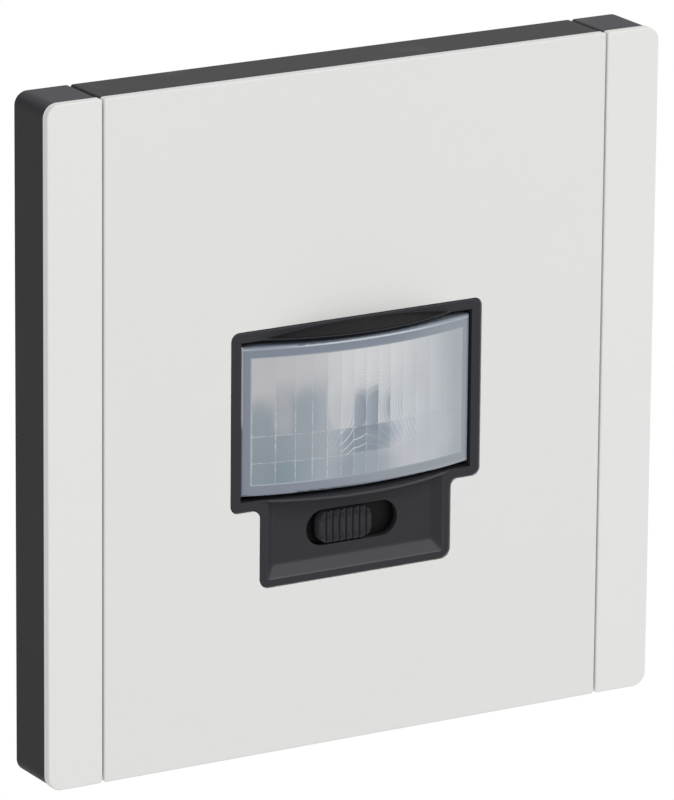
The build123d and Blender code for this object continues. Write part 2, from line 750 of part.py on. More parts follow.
with BuildPart() as rear_housing:
    with BuildSketch(Plane.XZ.offset(bridge_thickness)):
        RectangleRounded(module_width, module_height, housing_corner_radius)
    extrude(amount=-(bridge_thickness + module_depth), taper=housing_draft)
    add(housing_space.part, mode=Mode.SUBTRACT)
    with BuildSketch(Plane.XZ.offset(bay_front)):
        with Locations((0, bay_top)):
            Rectangle(
                block_width + 2 * loose_gap, module_height, align=(Align.CENTER, Align.MAX)
            )
    extrude(amount=-module_depth, mode=Mode.SUBTRACT)
    # slots where the terminal tails pass into the housing
    with BuildSketch(Plane.XZ.offset(clamp_front + tail_slot_gap)):
        with Locations((0, bay_top)):
            with GridLocations(pole_pitch, 0, pole_count, 1):
                Rectangle(tail_width + 2 * tail_slot_gap, 2 * bay_wall + cut_overrun)
    extrude(amount=-(clamp_thickness + 2 * tail_slot_gap), mode=Mode.SUBTRACT)
    # pilot holes in the bosses
    with BuildSketch(Plane.XZ.offset(bridge_thickness)):
        with Locations(*housing_screw_places):
            Circle(housing_screw_radius + screw_play)
    extrude(amount=-pilot_depth, mode=Mode.SUBTRACT)
    # snaps that hook behind the bridge
    for side in (-1, 1):
        for x in (-snap_x, snap_x):
            with BuildSketch(Plane.YZ.offset(x - snap_width / 2)):
                with BuildLine():
                    Polyline(
                        (seat_gap, side * (module_height / 2 - module_wall / 2)),
                        (seat_gap, side * (module_height / 2 + snap_height)),
                        (snap_length, side * (module_height / 2 - module_wall / 4)),
                        (snap_length, side * (module_height / 2 - module_wall / 2)),
                        close=True,
                    )
                make_face()
            extrude(amount=snap_width)
rear_housing.part.label = "rear_housing"
export_step(rear_housing.part, "parts/rear_housing.step")


# Terminal block with three square wire entries in its lower side and screws from the back
wire_entry_width = 5.2 * across
wire_entry_depth = 6.8
wire_entry_height = 5.6
entry_front = clamp_front
entry_back = entry_front - wire_entry_height
terminal_screw_inset = 3.4
terminal_screw_z = block_bottom + terminal_screw_inset
terminal_screw_radius = 1.5
terminal_head_radius = 2.2
terminal_head_depth = 1.5
terminal_head_sink = 0.2
head_seat = block_back + terminal_head_depth + terminal_head_sink

with BuildPart() as terminal_block:
    with BuildSketch(Plane.XZ.offset(block_back)):
        with Locations((0, (block_top + block_bottom) / 2)):
            Rectangle(block_width, block_top - block_bottom)
    extrude(amount=block_front - block_back)
    with BuildSketch(Plane.XZ.offset(entry_back)):
        with Locations((0, block_bottom + wire_entry_depth / 2)):
            with GridLocations(pole_pitch, 0, pole_count, 1):
                Rectangle(wire_entry_width, wire_entry_depth)
    extrude(amount=wire_entry_height, mode=Mode.SUBTRACT)
    with BuildSketch(Plane.XZ.offset(clamp_front)):
        with Locations((0, block_top)):
            with GridLocations(pole_pitch, 0, pole_count, 1):
                Rectangle(tail_width + 2 * tail_slot_gap, 2 * (block_height - wire_entry_depth))
    extrude(amount=-clamp_thickness - tail_slot_gap, mode=Mode.SUBTRACT)
    with BuildSketch(Plane.XZ.offset(block_back)):
        with Locations((0, terminal_screw_z)):
            with GridLocations(pole_pitch, 0, pole_count, 1):
                Circle(terminal_screw_radius + screw_play)
    extrude(amount=entry_back - block_back, mode=Mode.SUBTRACT)
    with BuildSketch(Plane.XZ.offset(block_back)):
        with Locations((0, terminal_screw_z)):
            with GridLocations(pole_pitch, 0, pole_count, 1):
                Circle(terminal_head_radius + loose_gap)
    extrude(amount=head_seat - block_back, mode=Mode.SUBTRACT)
terminal_block.part.label = "terminal_block"
export_step(terminal_block.part, "parts/terminal_block.step")

# Clamp plates in the wire entries, each with a tail that bends down to the power board
clamp_width = wire_entry_width - 2 * loose_gap
clamp_start = block_bottom + wire_entry_depth / 8
clamp_end = block_bottom + wire_entry_depth
tail_reach = 1.6
tail_end = bay_top + bay_wall + tail_reach

with BuildPart() as terminal_clamps:
    with BuildSketch(Plane.XZ.offset(clamp_front)):
        with GridLocations(pole_pitch, 0, pole_count, 1):
            with Locations((0, (clamp_start + clamp_end) / 2)):
                Rectangle(clamp_width, clamp_end - clamp_start)
            with Locations((0, (clamp_end + tail_end) / 2)):
                Rectangle(tail_width, tail_end - clamp_end)
    extrude(amount=-clamp_thickness)
    with BuildSketch(Plane.XZ.offset(clamp_front)):
        with GridLocations(pole_pitch, 0, pole_count, 1):
            with Locations((0, tail_end - clamp_thickness / 2)):
                Rectangle(tail_width, clamp_thickness)
    extrude(amount=-(clamp_front - power_board_front))
terminal_clamps.part.label = "terminal_clamps"
export_step(terminal_clamps.part, "parts/terminal_clamps.step")

with BuildPart() as terminal_screws:
    with BuildSketch(Plane.XZ.offset(entry_back)):
        with Locations((0, terminal_screw_z)):
            with GridLocations(pole_pitch, 0, pole_count, 1):
                Circle(terminal_screw_radius)
    extrude(amount=-(entry_back - head_seat))
    with BuildSketch(Plane.XZ.offset(head_seat)):
        with Locations((0, terminal_screw_z)):
            with GridLocations(pole_pitch, 0, pole_count, 1):
                Circle(terminal_head_radius)
    extrude(amount=-terminal_head_depth)
    with BuildSketch(Plane.XZ.offset(head_seat - terminal_head_depth)):
        with Locations((0, terminal_screw_z)):
            with GridLocations(pole_pitch, 0, pole_count, 1):
                Rectangle(2 * terminal_head_radius, recess_width)
    extrude(amount=recess_depth, mode=Mode.SUBTRACT)
terminal_screws.part.label = "terminal_screws"
export_step(terminal_screws.part, "parts/terminal_screws.step")


# Sensor board behind the lens
with BuildPart() as sensor_board:
    with BuildSketch(Plane.XZ.offset(sensor_board_back)):
        RectangleRounded(
            module_width - 2 * sensor_board_inset,
            module_height - 2 * sensor_board_inset,
            board_corner_radius,
        )
        with Locations(*housing_screw_places):
            RectangleRounded(
                2 * (boss_radius + boss_clearance) + boss_clearance,
                2 * (boss_radius + boss_clearance) + boss_clearance,
                board_corner_radius,
                mode=Mode.SUBTRACT,
            )
    extrude(amount=sensor_board_thickness)
sensor_board.part.label = "sensor_board"
export_step(sensor_board.part, "parts/sensor_board.step")

# Infra-red detector: a metal can on a flange, with a filter window in its top
can_flange_radius = 4.6
can_flange_thickness = 0.5
can_radius = 4.1
can_height = 4.2
can_edge_round = 0.4
filter_width = 4.6
filter_height = 3.4
filter_thickness = 0.4
can_top = sensor_board_front + can_height

with BuildPart() as pir_detector:
    with BuildSketch(Plane.XZ.offset(sensor_board_front)):
        Circle(can_flange_radius)
    extrude(amount=can_flange_thickness)
    with BuildSketch(Plane.XZ.offset(sensor_board_front)):
        Circle(can_radius)
    extrude(amount=can_height)
    fillet(pir_detector.faces().sort_by(Axis.Y)[0].edges(), radius=can_edge_round)
    with BuildSketch(Plane.XZ.offset(can_top)):
        Rectangle(filter_width, filter_height)
    extrude(amount=-filter_thickness, mode=Mode.SUBTRACT)
pir_detector.part.label = "pir_detector"
export_step(pir_detector.part, "parts/pir_detector.step")

with BuildPart() as pir_window:
    with BuildSketch(Plane.XZ.offset(can_top)):
        Rectangle(filter_width, filter_height)
    extrude(amount=-filter_thickness)
pir_window.part.label = "pir_window"
export_step(pir_window.part, "parts/pir_window.step")

# Daylight sensor: a small domed body
light_sensor_x = 10.0 * across
light_sensor_z = 4.5 * upright
light_sensor_radius = 1.5
light_sensor_flange_radius = 1.9
light_sensor_flange = 0.6
light_sensor_body = 2.6

with BuildPart() as light_sensor:
    with BuildSketch(Plane.XZ.offset(sensor_board_front)):
        with Locations((light_sensor_x, light_sensor_z)):
            Circle(light_sensor_flange_radius)
    extrude(amount=light_sensor_flange)
    with BuildSketch(Plane.XZ.offset(sensor_board_front)):
        with Locations((light_sensor_x, light_sensor_z)):
            Circle(light_sensor_radius)
    extrude(amount=light_sensor_body)
    with Locations((light_sensor_x, -sensor_board_front - light_sensor_body, light_sensor_z)):
        Sphere(light_sensor_radius)
light_sensor.part.label = "light_sensor"
export_step(light_sensor.part, "parts/light_sensor.step")

# Controller: a flat package with a row of legs along each long side
chip_length = 10.0
chip_width = 4.0
chip_thickness = 1.4
chip_standoff = 0.2
chip_z = 15.5 * upright
leg_width = 0.5
leg_length = 1.1
leg_pitch = 1.27
legs_each_side = 8

with BuildPart() as controller_chip:
    with BuildSketch(Plane.XZ.offset(sensor_board_front + chip_standoff)):
        with Locations((0, chip_z)):
            Rectangle(chip_length, chip_width)
    extrude(amount=chip_thickness)
    with BuildSketch(Plane.XZ.offset(sensor_board_front)):
        with Locations((0, chip_z)):
            with GridLocations(leg_pitch, chip_width + leg_length, legs_each_side, 2):
                Rectangle(leg_width, leg_length + chip_standoff)
    extrude(amount=chip_standoff + chip_thickness / 2)
controller_chip.part.label = "controller_chip"
export_step(controller_chip.part, "parts/controller_chip.step")

# Slide switch on the sensor board: a metal case with a slotted top
switch_length = 13.0 * across
switch_width = 5.2 * upright
switch_height = 4.0
switch_wall = 0.6
switch_top = sensor_board_front + switch_height
lever_depth = 1.9
lever_foot_length = 5.4 * across
lever_foot_thickness = 0.8
lever_tip = carriage_bottom - loose_gap
switch_slot_length = lever_width + knob_travel + 2 * loose_gap

with BuildPart() as slide_switch_case:
    with BuildSketch(Plane.XZ.offset(sensor_board_front)):
        with Locations((0, -slot_drop)):
            Rectangle(switch_length, switch_width)
    extrude(amount=switch_height)
    with BuildSketch(Plane.XZ.offset(sensor_board_front + switch_wall)):
        with Locations((0, -slot_drop)):
            Rectangle(switch_length - 2 * switch_wall, switch_width - 2 * switch_wall)
    extrude(amount=switch_height - 2 * switch_wall, mode=Mode.SUBTRACT)
    with BuildSketch(Plane.XZ.offset(switch_top)):
        with Locations((0, -slot_drop)):
            Rectangle(switch_slot_length, lever_depth + 2 * loose_gap)
    extrude(amount=-switch_wall, mode=Mode.SUBTRACT)
slide_switch_case.part.label = "slide_switch_case"
export_step(slide_switch_case.part, "parts/slide_switch_case.step")

with BuildPart() as slide_switch_lever:
    with BuildSketch(Plane.XZ.offset(switch_top - switch_wall - seat_gap)):
        with Locations((knob_rest_x, -slot_drop)):
            Rectangle(lever_foot_length, switch_width - 2 * switch_wall - 2 * seat_gap)
    extrude(amount=-lever_foot_thickness)
    with BuildSketch(Plane.XZ.offset(switch_top - switch_wall - seat_gap)):
        with Locations((knob_rest_x, -slot_drop)):
            Rectangle(lever_width, lever_depth)
    extrude(amount=lever_tip - switch_top + switch_wall + seat_gap)
slide_switch_lever.part.label = "slide_switch_lever"
export_step(slide_switch_lever.part, "parts/slide_switch_lever.step")

# Solder tails of the switch on the board's back
tail_radius = 0.4
tail_pitch = 3.0
tail_count = 4
tail_length = 1.5

with BuildPart() as slide_switch_pins:
    with BuildSketch(Plane.XZ.offset(sensor_board_back)):
        with Locations((0, -slot_drop)):
            with GridLocations(tail_pitch, 0, tail_count, 1):
                Circle(tail_radius)
    extrude(amount=-tail_length)
slide_switch_pins.part.label = "slide_switch_pins"
export_step(slide_switch_pins.part, "parts/slide_switch_pins.step")

# Two trimmers behind the plate, for the hold time and for the daylight level
trimmer_size = 5.0
trimmer_height = 2.6
rotor_radius = 1.7
rotor_height = 1.1
rotor_seat_depth = 0.5
rotor_play = 0.06
rotor_slot_width = 0.5
rotor_slot_depth = 0.5
trimmer_top = sensor_board_front + trimmer_height
rotor_back = trimmer_top - rotor_seat_depth

for name, (x, z) in zip(("time_trimmer", "lux_trimmer"), trimmer_places):
    with BuildPart() as trimmer_case:
        with BuildSketch(Plane.XZ.offset(sensor_board_front)):
            with Locations((x, z)):
                Rectangle(trimmer_size, trimmer_size)
        extrude(amount=trimmer_height)
        with BuildSketch(Plane.XZ.offset(trimmer_top)):
            with Locations((x, z)):
                Circle(rotor_radius + rotor_play)
        extrude(amount=-rotor_seat_depth, mode=Mode.SUBTRACT)
    trimmer_case.part.label = f"{name}_case"
    export_step(trimmer_case.part, f"parts/{name}_case.step")

    with BuildPart() as trimmer_rotor:
        with BuildSketch(Plane.XZ.offset(rotor_back)):
            with Locations((x, z)):
                Circle(rotor_radius)
        extrude(amount=rotor_height)
        with BuildSketch(Plane.XZ.offset(rotor_back + rotor_height)):
            with Locations((x, z)):
                Rectangle(2 * rotor_radius, rotor_slot_width)
        extrude(amount=-rotor_slot_depth, mode=Mode.SUBTRACT)
    trimmer_rotor.part.label = f"{name}_rotor"
    export_step(trimmer_rotor.part, f"parts/{name}_rotor.step")

# Pins that link the two boards
pin_width = 0.64
pin_pitch = 2.54
pin_count = 5
pin_row_inset = 4.6
pin_row_x = module_width / 2 - pin_row_inset
pin_row_z = 10.5 * upright

with BuildPart() as board_pins:
    with BuildSketch(Plane.XZ.offset(sensor_board_back)):
        with Locations((pin_row_x, pin_row_z)):
            with GridLocations(0, pin_pitch, 1, pin_count):
                Rectangle(pin_width, pin_width)
    extrude(amount=-(sensor_board_back - power_board_front))
board_pins.part.label = "board_pins"
export_step(board_pins.part, "parts/board_pins.step")


# Power board at the back of the housing, cut away over the terminal bay
board_bay_gap = 0.3

with BuildPart() as power_board:
    with BuildSketch(Plane.XZ.offset(power_board_back)):
        RectangleRounded(
            module_width - 2 * power_board_inset,
            module_height - 2 * power_board_inset,
            board_corner_radius,
        )
        with Locations(*housing_screw_places):
            RectangleRounded(
                2 * (boss_radius + boss_clearance) + boss_clearance,
                2 * (boss_radius + boss_clearance) + boss_clearance,
                board_corner_radius,
                mode=Mode.SUBTRACT,
            )
        with Locations(*ledge_places):
            Rectangle(ledge_width + boss_clearance, ledge_width + boss_clearance, mode=Mode.SUBTRACT)
        with Locations((0, bay_top + bay_wall + board_bay_gap)):
            Rectangle(
                block_width + 2 * (loose_gap + bay_wall + board_bay_gap),
                module_height,
                align=(Align.CENTER, Align.MAX),
                mode=Mode.SUBTRACT,
            )
    extrude(amount=power_board_thickness)
power_board.part.label = "power_board"
export_step(power_board.part, "parts/power_board.step")

# Relay
relay_length = 19.0 * across
relay_width = 15.0 * upright
relay_height = 12.5
relay_x = -10.4 * across
relay_z = 10.6 * upright
relay_edge = 0.6

with BuildPart() as relay:
    with BuildSketch(Plane.XZ.offset(power_board_front)):
        with Locations((relay_x, relay_z)):
            Rectangle(relay_length, relay_width)
    extrude(amount=relay_height)
    chamfer(relay.faces().sort_by(Axis.Y)[0].edges(), length=relay_edge)
relay.part.label = "relay"
export_step(relay.part, "parts/relay.step")

# Film capacitor
film_length = 15.0 * across
film_width = 6.0 * upright
film_height = 11.5
film_x = 8.6 * across
film_z = 16.0 * upright
film_edge = 0.5

with BuildPart() as film_capacitor:
    with BuildSketch(Plane.XZ.offset(power_board_front)):
        with Locations((film_x, film_z)):
            Rectangle(film_length, film_width)
    extrude(amount=film_height)
    fillet(film_capacitor.faces().sort_by(Axis.Y)[0].edges(), radius=film_edge)
film_capacitor.part.label = "film_capacitor"
export_step(film_capacitor.part, "parts/film_capacitor.step")

# Storage capacitor: a rolled can with a bead near its foot and a scored top
can_body_radius = 5.0
can_body_height = 12.0
can_body_x = 12.2 * across
can_body_z = 6.0 * upright
bead_depth = 0.5
bead_level = 1.8
bead_width = 1.0
can_rim = 0.5
score_depth = 0.25
score_width = 0.3

with BuildPart() as storage_capacitor:
    with BuildSketch(Plane.XZ.offset(power_board_front)):
        with Locations((can_body_x, can_body_z)):
            Circle(can_body_radius)
    extrude(amount=can_body_height)
    fillet(storage_capacitor.faces().sort_by(Axis.Y)[0].edges(), radius=can_rim)
    with BuildSketch(Plane.XZ.offset(power_board_front + bead_level)):
        with Locations((can_body_x, can_body_z)):
            Circle(can_body_radius + bead_depth)
            Circle(can_body_radius - bead_depth, mode=Mode.SUBTRACT)
    extrude(amount=bead_width, mode=Mode.SUBTRACT)
    with BuildSketch(Plane.XZ.offset(power_board_front + can_body_height)):
        with Locations((can_body_x, can_body_z)):
            Rectangle(can_body_radius, score_width)
            Rectangle(score_width, can_body_radius)
    extrude(amount=-score_depth, mode=Mode.SUBTRACT)
storage_capacitor.part.label = "storage_capacitor"
export_step(storage_capacitor.part, "parts/storage_capacitor.step")

# Bridge rectifier
rectifier_length = 8.4 * upright
rectifier_width = 5.6 * across
rectifier_height = 3.2
rectifier_x = 2.6 * across
rectifier_z = 6.4 * upright

with BuildPart() as bridge_rectifier:
    with BuildSketch(Plane.XZ.offset(power_board_front)):
        with Locations((rectifier_x, rectifier_z)):
            Rectangle(rectifier_width, rectifier_length)
    extrude(amount=rectifier_height)
    chamfer(bridge_rectifier.faces().sort_by(Axis.Y)[0].edges(), length=film_edge)
bridge_rectifier.part.label = "bridge_rectifier"
export_step(bridge_rectifier.part, "parts/bridge_rectifier.step")

# Varistor: a coated disc standing on two leads
disc_radius = 4.8
disc_thickness = 3.6
disc_x = -5.6 * across
disc_z = -3.6 * upright
disc_edge = 0.9
lead_radius = 0.4
lead_spacing = 5.0
disc_standoff = 1.0
disc_centre_level = power_board_front + disc_standoff + disc_radius

with BuildPart() as varistor:
    with BuildSketch(Plane.XY.offset(disc_z - disc_thickness / 2)):
        with Locations((disc_x, -disc_centre_level)):
            Circle(disc_radius)
    extrude(amount=disc_thickness)
    fillet(varistor.edges().filter_by(GeomType.CIRCLE), radius=disc_edge)
    with BuildSketch(Plane.XZ.offset(power_board_front)):
        with Locations((disc_x, disc_z)):
            with GridLocations(lead_spacing, 0, 2, 1):
                Circle(lead_radius)
    extrude(amount=disc_standoff + disc_radius / 2)
varistor.part.label = "varistor"
export_step(varistor.part, "parts/varistor.step")

# Fusible resistor: a round body lying on two bent leads
fuse_radius = 1.7
fuse_length = 9.0 * across
fuse_x = 7.6 * across
fuse_z = -7.2 * upright
fuse_gap = 0.4
fuse_lead_reach = 1.4
fuse_level = power_board_front + fuse_gap + fuse_radius

with BuildPart() as fuse_resistor:
    with BuildSketch(Plane.YZ.offset(fuse_x - fuse_length / 2)):
        with Locations((-fuse_level, fuse_z)):
            Circle(fuse_radius)
    extrude(amount=fuse_length)
    fillet(fuse_resistor.edges().filter_by(GeomType.CIRCLE), radius=can_rim)
    with BuildSketch(Plane.YZ.offset(fuse_x - fuse_length / 2 - fuse_lead_reach)):
        with Locations((-fuse_level, fuse_z)):
            Circle(lead_radius)
    extrude(amount=fuse_length + 2 * fuse_lead_reach)
    with BuildSketch(Plane.XZ.offset(power_board_front)):
        with Locations((fuse_x, fuse_z)):
            with GridLocations(fuse_length + 2 * fuse_lead_reach, 0, 2, 1):
                Circle(lead_radius)
    extrude(amount=fuse_gap + fuse_radius + lead_radius)
fuse_resistor.part.label = "fuse_resistor"
export_step(fuse_resistor.part, "parts/fuse_resistor.step")
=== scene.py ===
import bpy
import math
from mathutils import Matrix, Vector


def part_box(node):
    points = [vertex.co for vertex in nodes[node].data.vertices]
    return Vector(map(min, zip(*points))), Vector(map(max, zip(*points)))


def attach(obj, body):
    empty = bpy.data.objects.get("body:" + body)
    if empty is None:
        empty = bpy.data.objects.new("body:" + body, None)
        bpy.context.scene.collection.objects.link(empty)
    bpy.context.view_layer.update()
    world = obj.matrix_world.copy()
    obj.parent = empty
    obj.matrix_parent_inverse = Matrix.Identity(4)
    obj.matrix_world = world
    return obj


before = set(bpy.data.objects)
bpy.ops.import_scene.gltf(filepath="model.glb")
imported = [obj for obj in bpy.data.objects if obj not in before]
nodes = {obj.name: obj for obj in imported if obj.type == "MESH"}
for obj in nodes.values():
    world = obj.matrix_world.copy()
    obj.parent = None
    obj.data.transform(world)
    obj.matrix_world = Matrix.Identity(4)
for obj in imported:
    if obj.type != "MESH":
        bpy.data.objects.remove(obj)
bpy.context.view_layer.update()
mm = 0.001
print("frame loaded:", len(nodes), "nodes")


class Wire:
    # one socket of a node tree, so that maths on it reads as an expression
    def __init__(self, maker, socket):
        self.maker = maker
        self.socket = socket

    def __add__(self, other): return self.maker.maths("ADD", self, other)
    def __radd__(self, other): return self.maker.maths("ADD", other, self)
    def __sub__(self, other): return self.maker.maths("SUBTRACT", self, other)
    def __rsub__(self, other): return self.maker.maths("SUBTRACT", other, self)
    def __mul__(self, other): return self.maker.maths("MULTIPLY", self, other)
    def __rmul__(self, other): return self.maker.maths("MULTIPLY", other, self)
    def __truediv__(self, other): return self.maker.maths("DIVIDE", self, other)
    def __rtruediv__(self, other): return self.maker.maths("DIVIDE", other, self)
    def __gt__(self, other): return self.maker.maths("GREATER_THAN", self, other)
    def __lt__(self, other): return self.maker.maths("LESS_THAN", self, other)
    def __abs__(self): return self.maker.maths("ABSOLUTE", self)


class Maker:
    # fills a node tree: a Wire or a node given as a value is linked, anything else is set
    def __init__(self, tree):
        self.tree = tree

    def node(self, kind, settings=None, values=None):
        made = self.tree.nodes.new(kind)
        for key, value in (settings or {}).items():
            setattr(made, key, value)
        for key, value in (values or {}).items():
            socket = made.inputs[key]
            if isinstance(value, Wire):
                self.tree.links.new(value.socket, socket)
            elif isinstance(value, bpy.types.Node):
                self.tree.links.new(value.outputs[0], socket)
            elif socket.type == "RGBA" and len(value) == 3:
                socket.default_value = (*value, 1.0)
            else:
                socket.default_value = value
        return made

    def wire(self, made, output=0):
        return Wire(self, made.outputs[output])

    def maths(self, operation, a, b=0.0):
        return self.wire(self.node("ShaderNodeMath", {"operation": operation}, {0: a, 1: b}))

    def point(self, x=0.0, y=0.0, z=0.0):
        return self.wire(self.node("ShaderNodeCombineXYZ", {}, {0: x, 1: y, 2: z}))


class Finish(Maker):
    # the nodes of a material, read in object coordinates in millimetres, or of a world
    def __init__(self, name, world=None):
        self.owner = world or bpy.data.materials.new(name)
        self.owner.use_nodes = True
        super().__init__(self.owner.node_tree)
        self.tree.nodes.clear()
        if world is None:
            self.coordinates = self.node("ShaderNodeTexCoord")
            place = self.wire(self.coordinates, "Object")
            scaled = self.node("ShaderNodeVectorMath", {"operation": "SCALE"}, {0: place, "Scale": 1 / mm})
            self.place = self.wire(scaled)
            self.x, self.y, self.z = self.split(self.place)

    def split(self, vector):
        apart = self.node("ShaderNodeSeparateXYZ", {}, {0: vector})
        return (self.wire(apart, i) for i in range(3))

    def facing(self):
        # how far the surface faces the front and the top
        side, back, up = self.split(self.wire(self.coordinates, "Normal"))
        return -1.0 * back, up

    def clamp(self, value):
        return self.wire(self.node("ShaderNodeClamp", {}, {0: value, 1: 0.0, 2: 1.0}))

    def rise(self, value, start, end):
        # 0 below start, 1 above end, and a smooth step between
        return self.wire(self.node(
            "ShaderNodeMapRange", {"interpolation_type": "SMOOTHSTEP"}, {0: value, 1: start, 2: end}))

    def riseFrom(self, value, base, span):
        return self.rise(value, base + span[0], base + span[1])

    def spot(self, x, z, wide, high, soft):
        # 1 inside an oval round x, z on the front, fading to 0 at its edge
        across = (self.x - x) / wide
        up = (self.z - z) / high
        return 1 - self.rise(self.maths("SQRT", across * across + up * up), soft, 1.0)

    def noise(self, size, detail, stretch=(1.0, 1.0, 1.0), shift=(0.0, 0.0, 0.0)):
        # size is the width of one blotch in millimetres
        turned = self.node(
            "ShaderNodeMapping", {}, {"Vector": self.place, "Scale": stretch, "Location": shift})
        return self.wire(self.node(
            "ShaderNodeTexNoise", {}, {"Vector": turned, "Scale": 1 / size, "Detail": detail}))

    def draw(self, a, b, seed):
        # a fixed random share from 0 to 1 for each pair of whole numbers
        return self.wire(self.node(
            "ShaderNodeTexWhiteNoise", {"noise_dimensions": "3D"}, {0: self.point(a, b, seed)}))

    def mix(self, share, a, b):
        return self.wire(self.node("ShaderNodeMix", {"data_type": "RGBA"}, {0: share, 6: a, 7: b}), 2)

    def shade(self, colour, amount):
        # colour made darker or lighter by a wire, 1 leaves it
        grey = self.point(amount, amount, amount)
        return self.wire(self.node("ShaderNodeVectorMath", {"operation": "MULTIPLY"}, {0: colour, 1: grey}))

    def bump(self, height, depth):
        # depth is the height's full rise in millimetres
        return self.wire(self.node(
            "ShaderNodeBump", {}, {"Height": height, "Strength": 1.0, "Distance": depth * mm}))

    def seen(self):
        # 1 for rays from the camera, off a shiny face or through a clear one
        ray = self.node("ShaderNodeLightPath")
        camera, glossy, clear = (
            self.wire(ray, label) for label in ("Is Camera Ray", "Is Glossy Ray", "Is Transmission Ray"))
        return self.clamp(camera + glossy + clear)

    def surface(self, colour, roughness, normal, fixed=None):
        values = {"Base Color": colour, "Roughness": roughness, "Normal": normal}
        values.update(fixed or {})
        made = self.node("ShaderNodeBsdfPrincipled", {}, values)
        self.node("ShaderNodeOutputMaterial", {}, {"Surface": made})
        return self.owner


def linear(red, green, blue):
    # a colour as seen on screen, 0 to 255, on the shader's own scale: the sRGB curve
    shares = (value / 255 for value in (red, green, blue))
    return tuple(((share + 0.055) / 1.055) ** 2.4 if share > 0.04 else share / 12.92 for share in shares)


# what all injection moulded plastics share: fine grain, slow colour drift, faint rubbed spots
mould = {
    "driftDetail": 3.0, "grainDetail": 2.0, "grainTone": 0.6, "grainRough": 0.12,
    "rubSize": 0.45, "rubDetail": 4.0, "rubShift": (7, 3, 5), "rubRise": (0.52, 0.78),
    "gloss": 0.5, "crownRise": (0.0, 0.6),
}


def mouldSkin(finish, look):
    drift = finish.noise(look["driftSize"], mould["driftDetail"])
    grain = finish.noise(look["grainSize"], mould["grainDetail"])
    patches = finish.noise(look["driftSize"] * mould["rubSize"], mould["rubDetail"], shift=mould["rubShift"])
    rubbed = finish.rise(patches, *mould["rubRise"])
    tone = 1 + (drift - 0.5) * look["drift"] + (grain - 0.5) * look["drift"] * mould["grainTone"]
    rough = look["roughness"] + (grain - 0.5) * mould["grainRough"] - rubbed * look["rub"]
    return tone, rough, finish.bump(grain, look["grainDepth"])


def moulded(name, look):
    finish = Finish(name)
    tone, rough, normal = mouldSkin(finish, look)
    if "outerTintAndTopHighlight" in look:
        # outer panels: a share paler past a distance from the middle and above a height; on the dark end
        # frames this is a painted highlight along their top
        outerTintAndTopHighlight = look["outerTintAndTopHighlight"]
        outside = abs(finish.x) > outerTintAndTopHighlight["past"]
        above = finish.riseFrom(finish.z, outerTintAndTopHighlight["above"], mould["crownRise"])
        tone = tone * (1 + outside * above * outerTintAndTopHighlight["paler"])
    fixed = {"Specular IOR Level": look.get("gloss", mould["gloss"])}
    return finish.surface(finish.shade(look["colour"], tone), rough, normal, fixed)


plastics = {
    "whitePlate": {
        "colour": linear(232, 232, 230), "roughness": 0.42, "rub": 0.03, "gloss": 0.4,
        "grainSize": 0.16, "grainDepth": 0.006, "driftSize": 34, "drift": 0.02,
        "outerTintAndTopHighlight": {"past": 35.4, "above": -60.0, "paler": 0.03},
    },
    "darkFrame": {
        "colour": linear(38, 38, 41), "roughness": 0.5, "rub": 0.06, "gloss": 0.1,
        "grainSize": 0.22, "grainDepth": 0.015, "driftSize": 16, "drift": 0.14,
        # the end frames' paler top is a painted highlight
        "outerTintAndTopHighlight": {"past": 35.4, "above": 42.1, "paler": 1.2},
    },
    "greyHousing": {
        "colour": linear(196, 196, 190), "roughness": 0.48, "rub": 0.08,
        "grainSize": 0.25, "grainDepth": 0.015, "driftSize": 18, "drift": 0.06,
    },
    "greyBase": {
        "colour": linear(150, 151, 150), "roughness": 0.5, "rub": 0.06,
        "grainSize": 0.25, "grainDepth": 0.015, "driftSize": 20, "drift": 0.07,
    },
    "terminalGrey": {
        "colour": linear(98, 101, 106), "roughness": 0.45, "rub": 0.06,
        "grainSize": 0.2, "grainDepth": 0.012, "driftSize": 8, "drift": 0.1,
    },
    "relayBlue": {
        "colour": linear(38, 84, 150), "roughness": 0.36, "rub": 0.06,
        "grainSize": 0.2, "grainDepth": 0.01, "driftSize": 7, "drift": 0.1,
    },
    "rotorWhite": {
        "colour": linear(226, 224, 214), "roughness": 0.42, "rub": 0.06,
        "grainSize": 0.1, "grainDepth": 0.006, "driftSize": 3, "drift": 0.06,
    },
    "filmYellow": {
        "colour": linear(214, 172, 64), "roughness": 0.45, "rub": 0.06,
        "grainSize": 0.22, "grainDepth": 0.02, "driftSize": 6, "drift": 0.1,
    },
    "canSleeve": {
        "colour": linear(36, 38, 62), "roughness": 0.3, "rub": 0.08,
        "grainSize": 0.3, "grainDepth": 0.01, "driftSize": 6, "drift": 0.14,
    },
    "discCoat": {
        "colour": linear(58, 92, 150), "roughness": 0.28, "rub": 0.06,
        "grainSize": 0.5, "grainDepth": 0.03, "driftSize": 4, "drift": 0.16,
    },
    "resistorCoat": {
        "colour": linear(150, 176, 160), "roughness": 0.34, "rub": 0.06,
        "grainSize": 0.35, "grainDepth": 0.02, "driftSize": 3, "drift": 0.14,
    },
    "chipBlack": {
        "colour": linear(34, 34, 36), "roughness": 0.52, "rub": 0.05,
        "grainSize": 0.12, "grainDepth": 0.01, "driftSize": 4, "drift": 0.14,
    },
    "filterDark": {
        "colour": linear(60, 58, 66), "roughness": 0.12, "rub": 0.03,
        "grainSize": 0.4, "grainDepth": 0.002, "driftSize": 3, "drift": 0.1,
    },
    "clearResin": {
        "colour": linear(214, 224, 232), "roughness": 0.14, "rub": 0.03,
        "grainSize": 0.4, "grainDepth": 0.004, "driftSize": 2, "drift": 0.08,
    },
}
finishes = {name: moulded(name, look) for name, look in plastics.items()}


